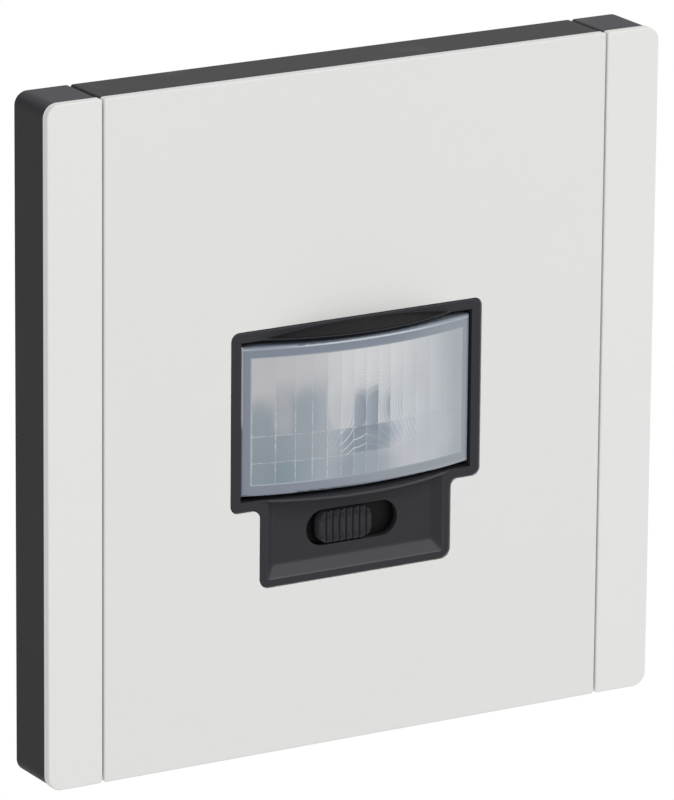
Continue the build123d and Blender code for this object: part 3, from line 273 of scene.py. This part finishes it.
# plated or rolled metal: brushed lines along one axis, cloudy plating, small pits
brushed = {
    "lineDetail": 3.0, "cloudDetail": 3.0, "pitSize": 0.12, "pitDetail": 2.0, "pitRise": (0.66, 0.74),
    "tone": 0.92, "lineTone": 0.14, "cloudTone": 0.22, "pitTone": 0.12,
    "lineRough": 0.14, "cloudRough": 0.2, "pitRough": 0.1, "lineHeight": 0.6, "pitHeight": 0.4,
}
metals = {
    "bridgeSteel": {
        "colour": linear(196, 196, 192), "roughness": 0.36, "depth": 0.004,
        "lineWidth": 0.3, "stretch": (0.06, 1, 1), "cloudSize": 7,
    },
    "screwSteel": {
        "colour": linear(190, 190, 186), "roughness": 0.3, "depth": 0.003,
        "lineWidth": 0.12, "stretch": (1, 0.2, 1), "cloudSize": 1.6,
    },
    "tinned": {
        "colour": linear(206, 206, 204), "roughness": 0.26, "depth": 0.003,
        "lineWidth": 0.16, "stretch": (1, 0.15, 1), "cloudSize": 2.4,
    },
    "brassPlate": {
        "colour": linear(214, 184, 116), "roughness": 0.3, "depth": 0.004,
        "lineWidth": 0.16, "stretch": (1, 1, 0.12), "cloudSize": 2.2,
    },
}


def plated(name, look):
    finish = Finish(name)
    lines = finish.noise(look["lineWidth"], brushed["lineDetail"], stretch=look["stretch"])
    cloud = finish.noise(look["cloudSize"], brushed["cloudDetail"])
    specks = finish.noise(look["cloudSize"] * brushed["pitSize"], brushed["pitDetail"])
    pits = finish.rise(specks, *brushed["pitRise"])
    tone = brushed["tone"] + lines * brushed["lineTone"] + (cloud - 0.5) * brushed["cloudTone"]
    colour = finish.shade(look["colour"], tone - pits * brushed["pitTone"])
    rough = look["roughness"] + (cloud - 0.5) * brushed["cloudRough"]
    rough = rough + (lines - 0.5) * brushed["lineRough"] + pits * brushed["pitRough"]
    height = lines * brushed["lineHeight"] - pits * brushed["pitHeight"]
    return finish.surface(colour, rough, finish.bump(height, look["depth"]), {"Metallic": 1.0})


finishes.update({name: plated(name, look) for name, look in metals.items()})


# black plastic of the bezel and the grip, with painted light and shade by its levels, in millimetres in
# front of the wall
blackPlastics = {
    "blackBezel": {
        "colour": linear(54, 54, 58), "roughness": 0.4, "rub": 0.05, "gloss": 0.11,
        "grainSize": 0.13, "grainDepth": 0.008, "driftSize": 9, "drift": 0.12,
        "face": 8.5, "groovePaintedLight": 0.0,
    },
    "blackKnob": {
        "colour": linear(52, 52, 55), "roughness": 0.46, "rub": 0.05, "gloss": 0.12,
        "grainSize": 0.13, "grainDepth": 0.008, "driftSize": 9, "drift": 0.12,
        "face": -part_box("slider_knob")[0].y / mm, "groovePaintedLight": 0.9,
    },
}
# painted shade on the hood and deep in the slot, painted light on the chin, the lower slope, the front's
# edge and between the grip's ribs
relief = {
    "front": 8.5, "floor": 7.5,    # the plate's front and the pocket's floor, from which other levels count
    "proud": (0.1, 0.5), "hoodStart": 10.3, "hoodPaintedShade": 0.25, "hoodRough": 0.1,
    "chinTop": -9.9, "chinBottom": -11.6, "chinPaintedLight": 1.7,
    "slopeTop": -18.9, "slopeFacing": (0.2, 0.45), "slopeLevel": (0.02, 0.2), "slopePaintedLight": 1.75,
    "edgeFacing": (0.75, 0.97), "edgeLevel": (-0.14, -0.04), "edgeHighlightTop": 0.1, "edgePaintedHighlight": 0.7,
    "grooveLevel": (-0.22, -0.06), "deepLevel": (-1.25, -0.3), "deepPaintedShade": 0.07,
}


def blackPlastic(name, look, levels):
    finish = Finish(name)
    tone, rough, normal = mouldSkin(finish, look)
    z, level = finish.z, -1.0 * finish.y
    frontward, upward = finish.facing()
    front, floor = levels["front"], levels["floor"]

    # hood and chin stand proud of the front, and the pocket's lower slope faces up: painted shade on the
    # hood, painted light on the chin and on the slope
    proud = finish.riseFrom(level, front, levels["proud"])
    hood = (z > levels["hoodStart"]) * proud
    chin = (z < levels["chinTop"]) * (z > levels["chinBottom"]) * proud
    leaning = finish.rise(upward, *levels["slopeFacing"])
    slope = (z < levels["slopeTop"]) * leaning * finish.riseFrom(level, floor, levels["slopeLevel"])
    for area, shade in ((hood, "hoodPaintedShade"), (slope, "slopePaintedLight"), (chin, "chinPaintedLight")):
        tone = tone * (1 + area * (levels[shade] - 1))

    # painted highlight along the front's edge, painted light between the grip's ribs, painted shade deep in
    # the slot
    turning = 1 - finish.rise(frontward, *levels["edgeFacing"])
    nearFront = finish.riseFrom(level, front, levels["edgeLevel"]) * (level < front + levels["edgeHighlightTop"])
    groove = (1 - finish.riseFrom(level, look["face"], levels["grooveLevel"])) * look["groovePaintedLight"]
    tone = tone * (1 + turning * nearFront * levels["edgePaintedHighlight"] + groove)
    deep = 1 - finish.riseFrom(level, floor, levels["deepLevel"])
    tone = tone * (1 + deep * (levels["deepPaintedShade"] - 1))

    rough = rough + hood * levels["hoodRough"]
    fixed = {"Specular IOR Level": look["gloss"]}
    return finish.surface(finish.shade(look["colour"], tone), rough, normal, fixed)


finishes.update({name: blackPlastic(name, look, relief) for name, look in blackPlastics.items()})


# circuit board: solder mask over tracks that run square to each other from cell to cell
boardLook = {
    "mask": linear(26, 92, 46), "track": linear(44, 124, 62), "roughness": 0.3, "depth": 0.03,
    "pitch": 1.27, "trackShare": 0.42, "cellPitches": 4, "seed": 0.5, "trackHeight": 0.7,
    "clothSize": 0.5, "clothDetail": 2.0, "clothTone": (0.94, 0.12), "clothRough": 0.1, "clothHeight": 0.3,
}


def boardMask(look):
    finish = Finish("boardMask")
    cell = look["pitch"] * look["cellPitches"]
    cellX = finish.maths("FLOOR", finish.x / cell)
    cellZ = finish.maths("FLOOR", finish.z / cell)
    upright = finish.draw(cellX, cellZ, look["seed"]) > 0.5
    alongX = finish.maths("FRACT", finish.z / look["pitch"]) < look["trackShare"]
    alongZ = finish.maths("FRACT", finish.x / look["pitch"]) < look["trackShare"]
    track = alongX * upright + alongZ * (1 - upright)
    cloth = finish.noise(look["clothSize"], look["clothDetail"])
    tone = look["clothTone"][0] + cloth * look["clothTone"][1]
    colour = finish.shade(finish.mix(track, look["mask"], look["track"]), tone)
    height = track * look["trackHeight"] + cloth * look["clothHeight"]
    rough = look["roughness"] + cloth * look["clothRough"]
    return finish.surface(colour, rough, finish.bump(height, look["depth"]))


finishes["boardMask"] = boardMask(boardLook)


# lens: milky sheet with a grid of facets, each with its own set of fine rings, its colour painted with the
# light and shade seen through it and with highlights and glints
# an area is x, z, half width, half height and the share of these where it starts to fade
# a pair is a start and an end, or a least value and what is added to it at most
lensLook = {
    "colours": {
        "left": linear(144, 154, 163), "right": linear(190, 194, 200), "end": linear(168, 174, 181),
        "warm": linear(190, 189, 193), "teal": linear(124, 142, 149), "pale": linear(209, 210, 211),
        "shadow": linear(124, 136, 149), "lavender": linear(188, 191, 201), "line": linear(222, 228, 233),
        "bandLeft": linear(128, 136, 150), "bandRight": linear(146, 153, 162),
        "bandTop": linear(122, 133, 146), "rim": linear(92, 95, 104),
    },
    "grid": {
        "distance": 16.0, "angle": 6.15,    # columns take equal angles seen from the detector
        "halfWidth": 14.95, "top": 8.0, "bottom": -8.0, "rowLines": (-1.9, -5.3),
        "columnSeed": (0.5, 2.5), "facetSeed": 7.5, "side": (-13.5, 6.0),
    },
    "back": {
        "end": (9.5, 14.0), "high": (0.9, 6.0), "highStep": 2.6, "highShare": 1.1,
        "deep": (-7.0, 1.5), "deepStep": 3.0, "deepSide": (-12.5, -4.0), "deepShare": (0.35, 0.6),
        "areas": (
            # area, share, colour, only in the top row
            ((0.5, 8.0, 11.0, 8.5, 0.2), 1.0, "pale", False),
            ((9.5, -4.5, 5.5, 5.5, 0.2), 0.7, "lavender", False),
            ((-0.5, -7.0, 6.5, 4.0, 0.3), 0.8, "left", False),
            ((-3.5, 1.5, 2.4, 5.0, 0.6), 0.5, "pale", True),
            ((-8.2, 0.5, 2.2, 4.4, 0.5), 0.6, "left", True),
            ((-11.1, 0.5, 1.8, 4.0, 0.4), 0.4, "warm", True),
            ((-14.2, 0.2, 1.8, 3.4, 0.4), 0.5, "left", True),
        ),
        "paintedDarkCore": (2.0, 3.9), "coreArea": (0.9, -0.8, 4.4, 5.4, 0.6), "coreShare": (0.56, 0.24),
        "lowArea": (0.4, -3.4, 5.4, 3.2, 0.4), "lowShare": 0.75,
        "cloud": (4.5, 2.0, (1.6, 1, 0.7), (3.1, 0, 1.7)),    # size, detail, stretch, shift
        "cloudTone": 0.12,
        "facetTone": (0.03, 0.06), "stepTone": (0.02, 0.09), "stepArea": (0.0, 0.0, 12.0, 12.0, 0.3),
    },
    "rings": {
        "lead": 2.3, "centre": 0.1, "zone": 4.2, "lowZone": 4.6, "width": 0.14, "depth": 0.02,
        "start": (1.4, 4.0), "wideArea": (1.5, 0.5, 13.0, 10.0, 0.5), "wideShare": 0.16,
        "brightArea": (-1.9, -3.2, 2.6, 3.4, 0.5), "brightShare": 0.6, "brightWidth": 0.5,
        "areas": (((2.4, 4.6, 5.0, 4.0, 0.3), 0.5), ((6.0, -1.0, 4.0, 5.0, 0.3), 0.55)), "least": 0.03,
    },
    "seams": {
        "width": 0.13, "columnWidth": 1.9, "height": 0.5,
        "beadSize": 0.7, "beadDetail": 1.0, "beadShift": (0, 0, 9),
        "beadRise": (0.38, 0.66), "bead": (0.4, 0.8),
        "fadeSide": (-4.0, 8.0), "fadeTop": (-1.0, 5.5), "area": (1.7, 0.5, 3.0, 3.4, 0.5),
        "upright": (0.05, 0.3), "level": (0.08, 0.24),
    },
    "band": {
        "halfWidth": 16.2, "halfHeight": 9.5, "tone": (0.97, 0.06), "roughness": 0.22, "gridRoughness": 0.14,
        "topRise": (7.0, 8.6), "topSide": (4.0, 13.0), "topShare": (0.8, 0.6),
        "rimRise": (-0.7, -0.05), "rimShare": 0.6,
        "edgeTopStart": (-0.48, -0.36), "edgeTopEnd": (-0.3, -0.18), "edgeTopShare": (0.25, 0.55),
        "edgeTopArea": (1.0, 9.5, 13.0, 6.0, 0.3),
        "edgeLowSide": (3.0, 9.0), "edgeLowRise": (0.35, 0.6), "edgeLowShare": 0.12,
        "edgeLeftWidth": 0.2, "edgeLeftRise": (-1.5, 0.5), "edgeLeftShare": 0.7,
        "gridLine": 0.14, "gridLineShare": (0.1, 0.25),
    },
}


class Lens:
    # the lens's finish: where each facet lies, then its painted light and shade, rings and seams with
    # painted glints, and the band round the grid with painted highlights
    def __init__(self, look):
        self.look = look
        self.finish = Finish("milkyLens")
        finish, grid = self.finish, look["grid"]
        self.x, self.z = finish.x, finish.z
        turn = grid["angle"] * math.pi / 180
        angle = finish.maths("ARCTANGENT", self.x / grid["distance"]) * (180 / math.pi) / grid["angle"]
        column = finish.maths("FLOOR", angle)
        self.middle = finish.maths("TANGENT", (column + 0.5) * turn) * grid["distance"]
        self.inColumn = angle - column
        upper, lower = grid["rowLines"]
        self.row = (self.z < upper) + (self.z < lower)    # 0 at the top, and rings in 0 and 1 only
        self.topRow = self.row < 0.5
        self.ringRows = self.row < 1.5
        self.inGrid = self.window(0.0)
        self.columnDraw = finish.draw(column, *grid["columnSeed"])
        self.facetDraw = finish.draw(column, self.row, grid["facetSeed"])
        self.side = finish.rise(self.x, *grid["side"])
        self.leftness = 1 - self.side

    def window(self, grown):
        # 1 inside the grid, made larger on all sides by grown
        grid = self.look["grid"]
        wide = abs(self.x) < grid["halfWidth"] + grown
        return wide * (self.z < grid["top"] + grown) * (self.z > grid["bottom"] - grown)

    def over(self, below, share, colour):
        return self.finish.mix(share, below, self.look["colours"][colour])

    def between(self, left, right):
        colours = self.look["colours"]
        return self.finish.mix(self.side, colours[left], colours[right])

    def paintedBackLight(self):
        # painted light and shade of what lies behind the sheet, seen through it, stepped from column to
        # column
        finish, look, x, z = self.finish, self.look["back"], self.x, self.z
        tone = self.over(self.between("left", "right"), finish.rise(x, *look["end"]), "end")
        high = finish.rise(z - (self.columnDraw - 0.5) * look["highStep"], *look["high"])
        tone = self.over(tone, finish.clamp(high * self.leftness * look["highShare"]), "warm")
        deep = 1 - finish.rise(z - (self.facetDraw - 0.5) * look["deepStep"], *look["deep"])
        least, more = look["deepShare"]
        deep = deep * (1 - finish.rise(x, *look["deepSide"])) * (least + self.facetDraw * more)
        tone = self.over(tone, finish.clamp(deep), "teal")
        # painted pools of light and shade seen through the sheet
        for area, share, colour, onlyTop in look["areas"]:
            shown = finish.spot(*area) * share
            tone = self.over(tone, shown * self.topRow if onlyTop else shown, colour)

        # each facet's rings have their centre further out than the facet, and their core is painted dark
        # with the shade behind the sheet
        away = x - self.middle * self.look["rings"]["lead"]
        up = z - self.look["rings"]["centre"]
        self.square = away * away + up * up
        self.reach = finish.maths("SQRT", self.square)
        least, more = look["coreShare"]
        paintedDarkCore = (1 - finish.rise(self.reach, *look["paintedDarkCore"])) * finish.spot(*look["coreArea"]) * self.ringRows
        tone = self.over(tone, paintedDarkCore * (least + self.inColumn * more), "shadow")
        # painted shadow low in the middle of the lower rows
        low = finish.spot(*look["lowArea"]) * (self.row > 0.5) * self.ringRows
        tone = self.over(tone, low * look["lowShare"], "shadow")

        # small steps from facet to facet, each column darker towards its outer edge: painted shade across
        # each column
        self.cloud = finish.noise(*look["cloud"])
        least, more = look["facetTone"]
        facet = (self.facetDraw - 0.5) * (least + self.leftness * more)
        least, more = look["stepTone"]
        step = (0.5 - self.inColumn) * (least + finish.spot(*look["stepArea"]) * more)
        return finish.shade(tone, 1 + facet + (self.cloud - 0.5) * look["cloudTone"] + step)

    def addRings(self, facets):
        # rings, finer the further they are from their centre, drawn as pale lines: the real grooves with
        # painted glints, strongest in the given areas
        finish, look = self.finish, self.look["rings"]
        paintedGlint = finish.spot(*look["brightArea"])
        zone = look["zone"] + (self.row > 0.5) * look["lowZone"]
        phase = finish.maths("FRACT", self.square / zone)
        share = self.reach * (2 * look["width"]) / zone * (1 + paintedGlint * look["brightWidth"])
        ring = 1 - finish.rise(abs(phase - 0.5) * 2, 0.0, share)
        ring = ring * self.ringRows * finish.rise(self.square, *look["start"])
        shown = finish.spot(*look["wideArea"]) * look["wideShare"] + paintedGlint * look["brightShare"]
        for area, areaShare in look["areas"]:
            shown = shown + finish.spot(*area) * areaShare
        self.ringHeight = ring * finish.clamp(shown + look["least"])
        return self.over(facets, self.ringHeight, "line")

    def addSeams(self, facets):
        # seams between the facets, strongest low on the left, broken up like beads, drawn as pale lines: the
        # real seams with painted glints
        finish, look = self.finish, self.look["seams"]
        beads = finish.noise(look["beadSize"], look["beadDetail"], shift=look["beadShift"])
        least, more = look["bead"]
        bead = least + finish.rise(beads, *look["beadRise"]) * more
        seamShare = look["width"] / 2 / look["columnWidth"]
        upright = finish.clamp((self.inColumn < seamShare) + (self.inColumn > 1 - seamShare))
        onUpper, onLower = (abs(self.z - at) < look["width"] / 2 for at in self.look["grid"]["rowLines"])
        level = onUpper + onLower
        fade = (1 - finish.rise(self.x, *look["fadeSide"])) * (1 - finish.rise(self.z, *look["fadeTop"]))
        fade = fade + finish.spot(*look["area"]) * self.topRow
        least, more = look["upright"]
        facets = self.over(facets, finish.clamp(upright * bead * (least + fade * more)), "line")
        least, more = look["level"]
        facets = self.over(facets, finish.clamp(level * bead * (least + self.leftness * more)), "line")
        self.height = self.ringHeight + upright * look["height"] + level * look["height"]
        return facets

    def plainBand(self):
        # smooth band round the grid, darker towards the top, with painted shade along the right edge,
        # painted highlights along the top, low right and left edges, and a pale line round the grid with
        # painted glints
        finish, look, x, z = self.finish, self.look["band"], self.x, self.z
        halfWidth, halfHeight = look["halfWidth"], look["halfHeight"]
        most, less = look["topShare"]
        topShare = finish.rise(z, *look["topRise"]) * (most - finish.rise(x, *look["topSide"]) * less)
        band = self.over(self.between("bandLeft", "bandRight"), topShare, "bandTop")
        band = self.over(band, finish.riseFrom(x, halfWidth, look["rimRise"]) * look["rimShare"], "rim")
        edgeHighlightTop = finish.riseFrom(z, halfHeight, look["edgeTopStart"])
        edgeHighlightTop = edgeHighlightTop * (1 - finish.riseFrom(z, halfHeight, look["edgeTopEnd"]))
        least, more = look["edgeTopShare"]
        band = self.over(band, edgeHighlightTop * (least + finish.spot(*look["edgeTopArea"]) * more), "line")
        edgeHighlightLow = finish.rise(x, *look["edgeLowSide"])
        edgeHighlightLow = edgeHighlightLow * (1 - finish.riseFrom(z, -halfHeight, look["edgeLowRise"]))
        band = self.over(band, edgeHighlightLow * look["edgeLowShare"], "line")
        edgeHighlightLeft = (x < -halfWidth + look["edgeLeftWidth"]) * finish.rise(z, *look["edgeLeftRise"])
        band = self.over(band, edgeHighlightLeft * look["edgeLeftShare"], "line")
        least, more = look["gridLineShare"]
        grown = self.window(look["gridLine"]) - self.inGrid
        band = self.over(band, grown * (least + self.leftness * more), "line")
        least, more = look["tone"]
        return finish.shade(band, least + self.cloud * more)


def milkyLens(look):
    lens = Lens(look)
    facets = lens.addSeams(lens.addRings(lens.paintedBackLight()))
    colour = lens.finish.mix(lens.inGrid, lens.plainBand(), facets)
    rough = look["band"]["roughness"] + lens.inGrid * look["band"]["gridRoughness"]
    normal = lens.finish.bump(lens.inGrid * lens.height, look["rings"]["depth"])
    return lens.finish.surface(colour, rough, normal)


finishes["milkyLens"] = milkyLens(lensLook)
print("finishes made:", len(finishes))

nodeFinish = {
    "whitePlate": ["left_fascia", "centre_fascia", "right_fascia"],
    "darkFrame": ["left_end_frame", "centre_frame", "right_end_frame"],
    "blackBezel": ["sensor_bezel"],
    "blackKnob": ["slider_knob"],
    "milkyLens": ["fresnel_lens"],
    "greyHousing": ["rear_housing", "module_cover"],
    "greyBase": ["plate_base"],
    "bridgeSteel": ["support_frame"],
    "screwSteel": ["base_screws", "housing_screws"],
    "terminalGrey": ["terminal_block"],
    "brassPlate": ["terminal_clamps", "terminal_screws"],
    "boardMask": ["sensor_board", "power_board"],
    "tinned": ["board_pins", "slide_switch_pins", "slide_switch_case", "pir_detector"],
    "filterDark": ["pir_window"],
    "clearResin": ["light_sensor"],
    "chipBlack": ["controller_chip", "bridge_rectifier", "slide_switch_lever"],
    "relayBlue": ["relay", "time_trimmer_case", "lux_trimmer_case"],
    "rotorWhite": ["time_trimmer_rotor", "lux_trimmer_rotor"],
    "filmYellow": ["film_capacitor"],
    "canSleeve": ["storage_capacitor"],
    "discCoat": ["varistor"],
    "resistorCoat": ["fuse_resistor"],
}
for finishName, members in nodeFinish.items():
    for member in members:
        for slot in nodes[member].material_slots:
            slot.material = finishes[finishName]


class Rule(Maker):
    # a geometry tree with named inputs, run once and kept as a plain mesh
    def __init__(self, name, look, labels, material):
        super().__init__(bpy.data.node_groups.new(name, "GeometryNodeTree"))
        self.name = name
        self.material = material
        sockets = self.tree.interface
        sockets.new_socket(name="Geometry", in_out="OUTPUT", socket_type="NodeSocketGeometry")
        self.values = {}
        for label in labels:
            kind = "NodeSocketInt" if isinstance(look[label], int) else "NodeSocketFloat"
            key = sockets.new_socket(name=label, in_out="INPUT", socket_type=kind).identifier
            self.values[key] = look[label]
        inputs = self.node("NodeGroupInput")
        self.sizes = {label: self.wire(inputs, label) for label in labels}

    def line(self, count, start, offset):
        return self.node("GeometryNodeMeshLine", {"mode": "OFFSET"}, {
            "Count": count, "Start Location": start, "Offset": offset})

    def moved(self, shape, **values):
        return self.node("GeometryNodeTransform", {}, {0: shape, **values})

    def joined(self, shapes):
        made = self.node("GeometryNodeJoinGeometry")
        for shape in shapes:
            self.tree.links.new(shape.outputs[0], made.inputs[0])
        return made

    def build(self, geometry, body, slotName):
        real = self.node("GeometryNodeRealizeInstances", {}, {0: geometry})
        painted = self.node("GeometryNodeSetMaterial", {}, {0: real, "Material": self.material})
        self.node("NodeGroupOutput", {}, {0: painted})
        holder = bpy.data.objects.new(self.name + "Holder", bpy.data.meshes.new(self.name + "Holder"))
        bpy.context.scene.collection.objects.link(holder)
        modifier = holder.modifiers.new(self.name, "NODES")
        modifier.node_group = self.tree
        for key, value in self.values.items():
            modifier[key] = value
        bpy.context.view_layer.update()
        shown = holder.evaluated_get(bpy.context.evaluated_depsgraph_get())
        mesh = bpy.data.meshes.new_from_object(shown)
        holder.modifiers.remove(modifier)
        bpy.data.objects.remove(holder)
        mesh.name = self.name
        mesh.materials.clear()    # the primitives bring an empty slot of their own
        mesh.materials.append(self.material)
        piece = bpy.data.objects.new(self.name, mesh)
        bpy.context.scene.collection.objects.link(piece)
        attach(piece, body)
        print("piece made:", self.name, len(mesh.polygons), "faces")


# rounded crests on the grip's ribs, shorter where the grip's corners round off
gripRibs = {
    "pitch": 0.95 * mm, "count": 8, "radius": 0.25 * mm, "length": 3.3 * mm, "endScale": 0.8,
    "flatten": 0.3, "sink": 0.01 * mm, "sides": 20, "rings": 12,
}


def makeGripRibs(look):
    rule = Rule("gripRibs", look, ("pitch", "count", "radius", "length", "endScale"), finishes["blackKnob"])
    pitch, count, radius, length, endScale = rule.sizes.values()
    half = (count - 1) * 0.5
    line = rule.line(count, rule.point(pitch * half * -1), rule.point(pitch))
    stick = rule.node("GeometryNodeMeshCylinder", {}, {
        "Vertices": look["sides"], "Side Segments": 1, "Radius": radius, "Depth": length})
    ball = rule.node("GeometryNodeMeshUVSphere", {}, {
        "Segments": look["sides"], "Rings": look["rings"], "Radius": radius})
    reach = length * 0.5
    upper = rule.moved(ball, Translation=rule.point(0, 0, reach))
    lower = rule.moved(ball, Translation=rule.point(0, 0, reach * -1))
    flat = rule.moved(rule.joined((stick, upper, lower)), Scale=(1.0, look["flatten"], 1.0))
    smooth = rule.node("GeometryNodeSetShadeSmooth", {}, {0: flat})
    fromMiddle = abs(rule.wire(rule.node("GeometryNodeInputIndex")) - half)
    shrink = 1 - (fromMiddle > half - 0.5) * (1 - endScale)
    ribs = rule.node("GeometryNodeInstanceOnPoints", {}, {
        "Points": line, "Instance": smooth, "Scale": rule.point(1, 1, shrink)})
    # the carriage is centred on the grip, so the node's box gives the middle of its face
    low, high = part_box("slider_knob")
    middle = ((low.x + high.x) / 2, low.y + look["sink"], (low.z + high.z) / 2)
    rule.build(rule.moved(ribs, Translation=middle), "slider", "black_plastic")


makeGripRibs(gripRibs)

# grip ribs down the two sides of the module
sideRibs = {
    "count": 9, "pitch": 2.2 * mm, "width": 0.9 * mm, "height": 0.5 * mm, "length": 30.0 * mm,
    "start": 4.0 * mm, "offset": 24.95 * mm, "lean": math.radians(1.2), "sides": 16,
}


def makeSideRibs(look):
    rule = Rule("sideRibs", look, ("count", "pitch", "width", "height", "length"), finishes["greyHousing"])
    count, pitch, width, height, length = rule.sizes.values()
    line = rule.line(count, (0.0, look["start"], 0.0), rule.point(0, pitch, 0))
    bar = rule.node("GeometryNodeMeshCylinder", {}, {
        "Vertices": look["sides"], "Radius": width * 0.5, "Depth": length})
    thin = rule.moved(bar, Scale=rule.point(height / width, 1, 1))
    smooth = rule.node("GeometryNodeSetShadeSmooth", {}, {0: thin})
    bars = rule.node("GeometryNodeInstanceOnPoints", {}, {"Points": line, "Instance": smooth})
    placed = []
    for side in (-1, 1):
        lean, place = (0.0, 0.0, side * look["lean"]), (side * look["offset"], 0.0, 0.0)
        placed.append(rule.moved(bars, Rotation=lean, Translation=place))
    rule.build(rule.joined(placed), "switch", "grey_plastic")


makeSideRibs(sideRibs)
print("pieces placed")

studio = {
    "floorDrop": 0.16, "floorReach": 6.0, "floorColour": linear(236, 236, 236),
    "grainSize": 6.0, "grainDetail": 3.0, "grainTone": (0.98, 0.04), "worldLight": 0.5, "aim": (0, 0, 0),
    "lamps": {
        "keyLamp": {"place": (0.6, -1.3, 1.1), "size": 1.2, "power": 12.0},
        "fillLamp": {"place": (-1.2, -1.5, 0.3), "size": 1.4, "power": 5.2},
        "topLamp": {"place": (0.0, 0.4, 1.6), "size": 1.0, "power": 1.5},
    },
}


def paleFloor(look):
    mesh = bpy.data.meshes.new("floorPlane")
    reach, level = look["floorReach"], -look["floorDrop"]
    corners = [(x * reach, y * reach, level) for x, y in ((-1, -1), (1, -1), (1, 1), (-1, 1))]
    mesh.from_pydata(corners, [], [(0, 1, 2, 3)])
    floor = bpy.data.objects.new("floorPlane", mesh)
    bpy.context.scene.collection.objects.link(floor)
    finish = Finish("paleFloor")
    grain = finish.noise(look["grainSize"], look["grainDetail"])
    tone = look["grainTone"][0] + grain * look["grainTone"][1]
    plain = finish.node("ShaderNodeBsdfDiffuse", {}, {"Color": finish.shade(look["floorColour"], tone)})
    white = finish.node("ShaderNodeEmission", {}, {"Color": (1.0, 1.0, 1.0), "Strength": 1.0})
    both = finish.node("ShaderNodeMixShader", {}, {0: finish.seen(), 1: plain, 2: white})
    finish.node("ShaderNodeOutputMaterial", {}, {"Surface": both})
    mesh.materials.append(finish.owner)


def whiteWorld(look):
    # white to look at, and a plain level of light on the object
    world = bpy.data.worlds.new("whiteWorld")
    bpy.context.scene.world = world
    finish = Finish("whiteWorld", world)
    strength = look["worldLight"] + finish.seen() * (1 - look["worldLight"])
    back = finish.node("ShaderNodeBackground", {}, {"Color": (1.0, 1.0, 1.0), "Strength": strength})
    finish.node("ShaderNodeOutputWorld", {}, {"Surface": back})


def softLamp(name, look, aim):
    lamp = bpy.data.lights.new(name, "AREA")
    lamp.shape = "DISK"
    lamp.size = look["size"]
    lamp.energy = look["power"]
    holder = bpy.data.objects.new(name, lamp)
    bpy.context.scene.collection.objects.link(holder)
    holder.location = look["place"]
    holder.rotation_euler = (Vector(aim) - Vector(look["place"])).to_track_quat("-Z", "Y").to_euler()


paleFloor(studio)
whiteWorld(studio)
for lampName, lampLook in studio["lamps"].items():
    softLamp(lampName, lampLook, studio["aim"])


# camera as the photograph was taken; the sensor's width lies along the frame's longer side
shot = {
    "azimuth": -30.469, "elevation": 16.398, "roll": 0.522, "distance": 0.917148,
    "target": (0.002146, 0.0, -0.001767), "focalPixels": 7402.569, "frameHeight": 800,
    "sensorWidth": 36.0, "clipStart": 0.01, "clipEnd": 50.0,
}


def placeCamera(look):
    a, e, r = (math.radians(look[key]) for key in ("azimuth", "elevation", "roll"))
    back = Vector((math.sin(a) * math.cos(e), -math.cos(a) * math.cos(e), math.sin(e)))
    right = Vector((math.cos(a), math.sin(a), 0.0))
    up = back.cross(right)
    turnedRight = right * math.cos(r) + up * math.sin(r)
    turnedUp = up * math.cos(r) - right * math.sin(r)
    data = bpy.data.cameras.new("photoCamera")
    data.sensor_width = look["sensorWidth"]
    data.lens = look["focalPixels"] * look["sensorWidth"] / look["frameHeight"]
    data.clip_start, data.clip_end = look["clipStart"], look["clipEnd"]
    camera = bpy.data.objects.new("photoCamera", data)
    bpy.context.scene.collection.objects.link(camera)
    turn = Matrix((turnedRight, turnedUp, back)).transposed().to_4x4()
    camera.matrix_world = Matrix.Translation(Vector(look["target"]) + back * look["distance"]) @ turn
    bpy.context.scene.camera = camera


placeCamera(shot)
bpy.context.scene.view_settings.view_transform = "Standard"
print("studio and camera set")
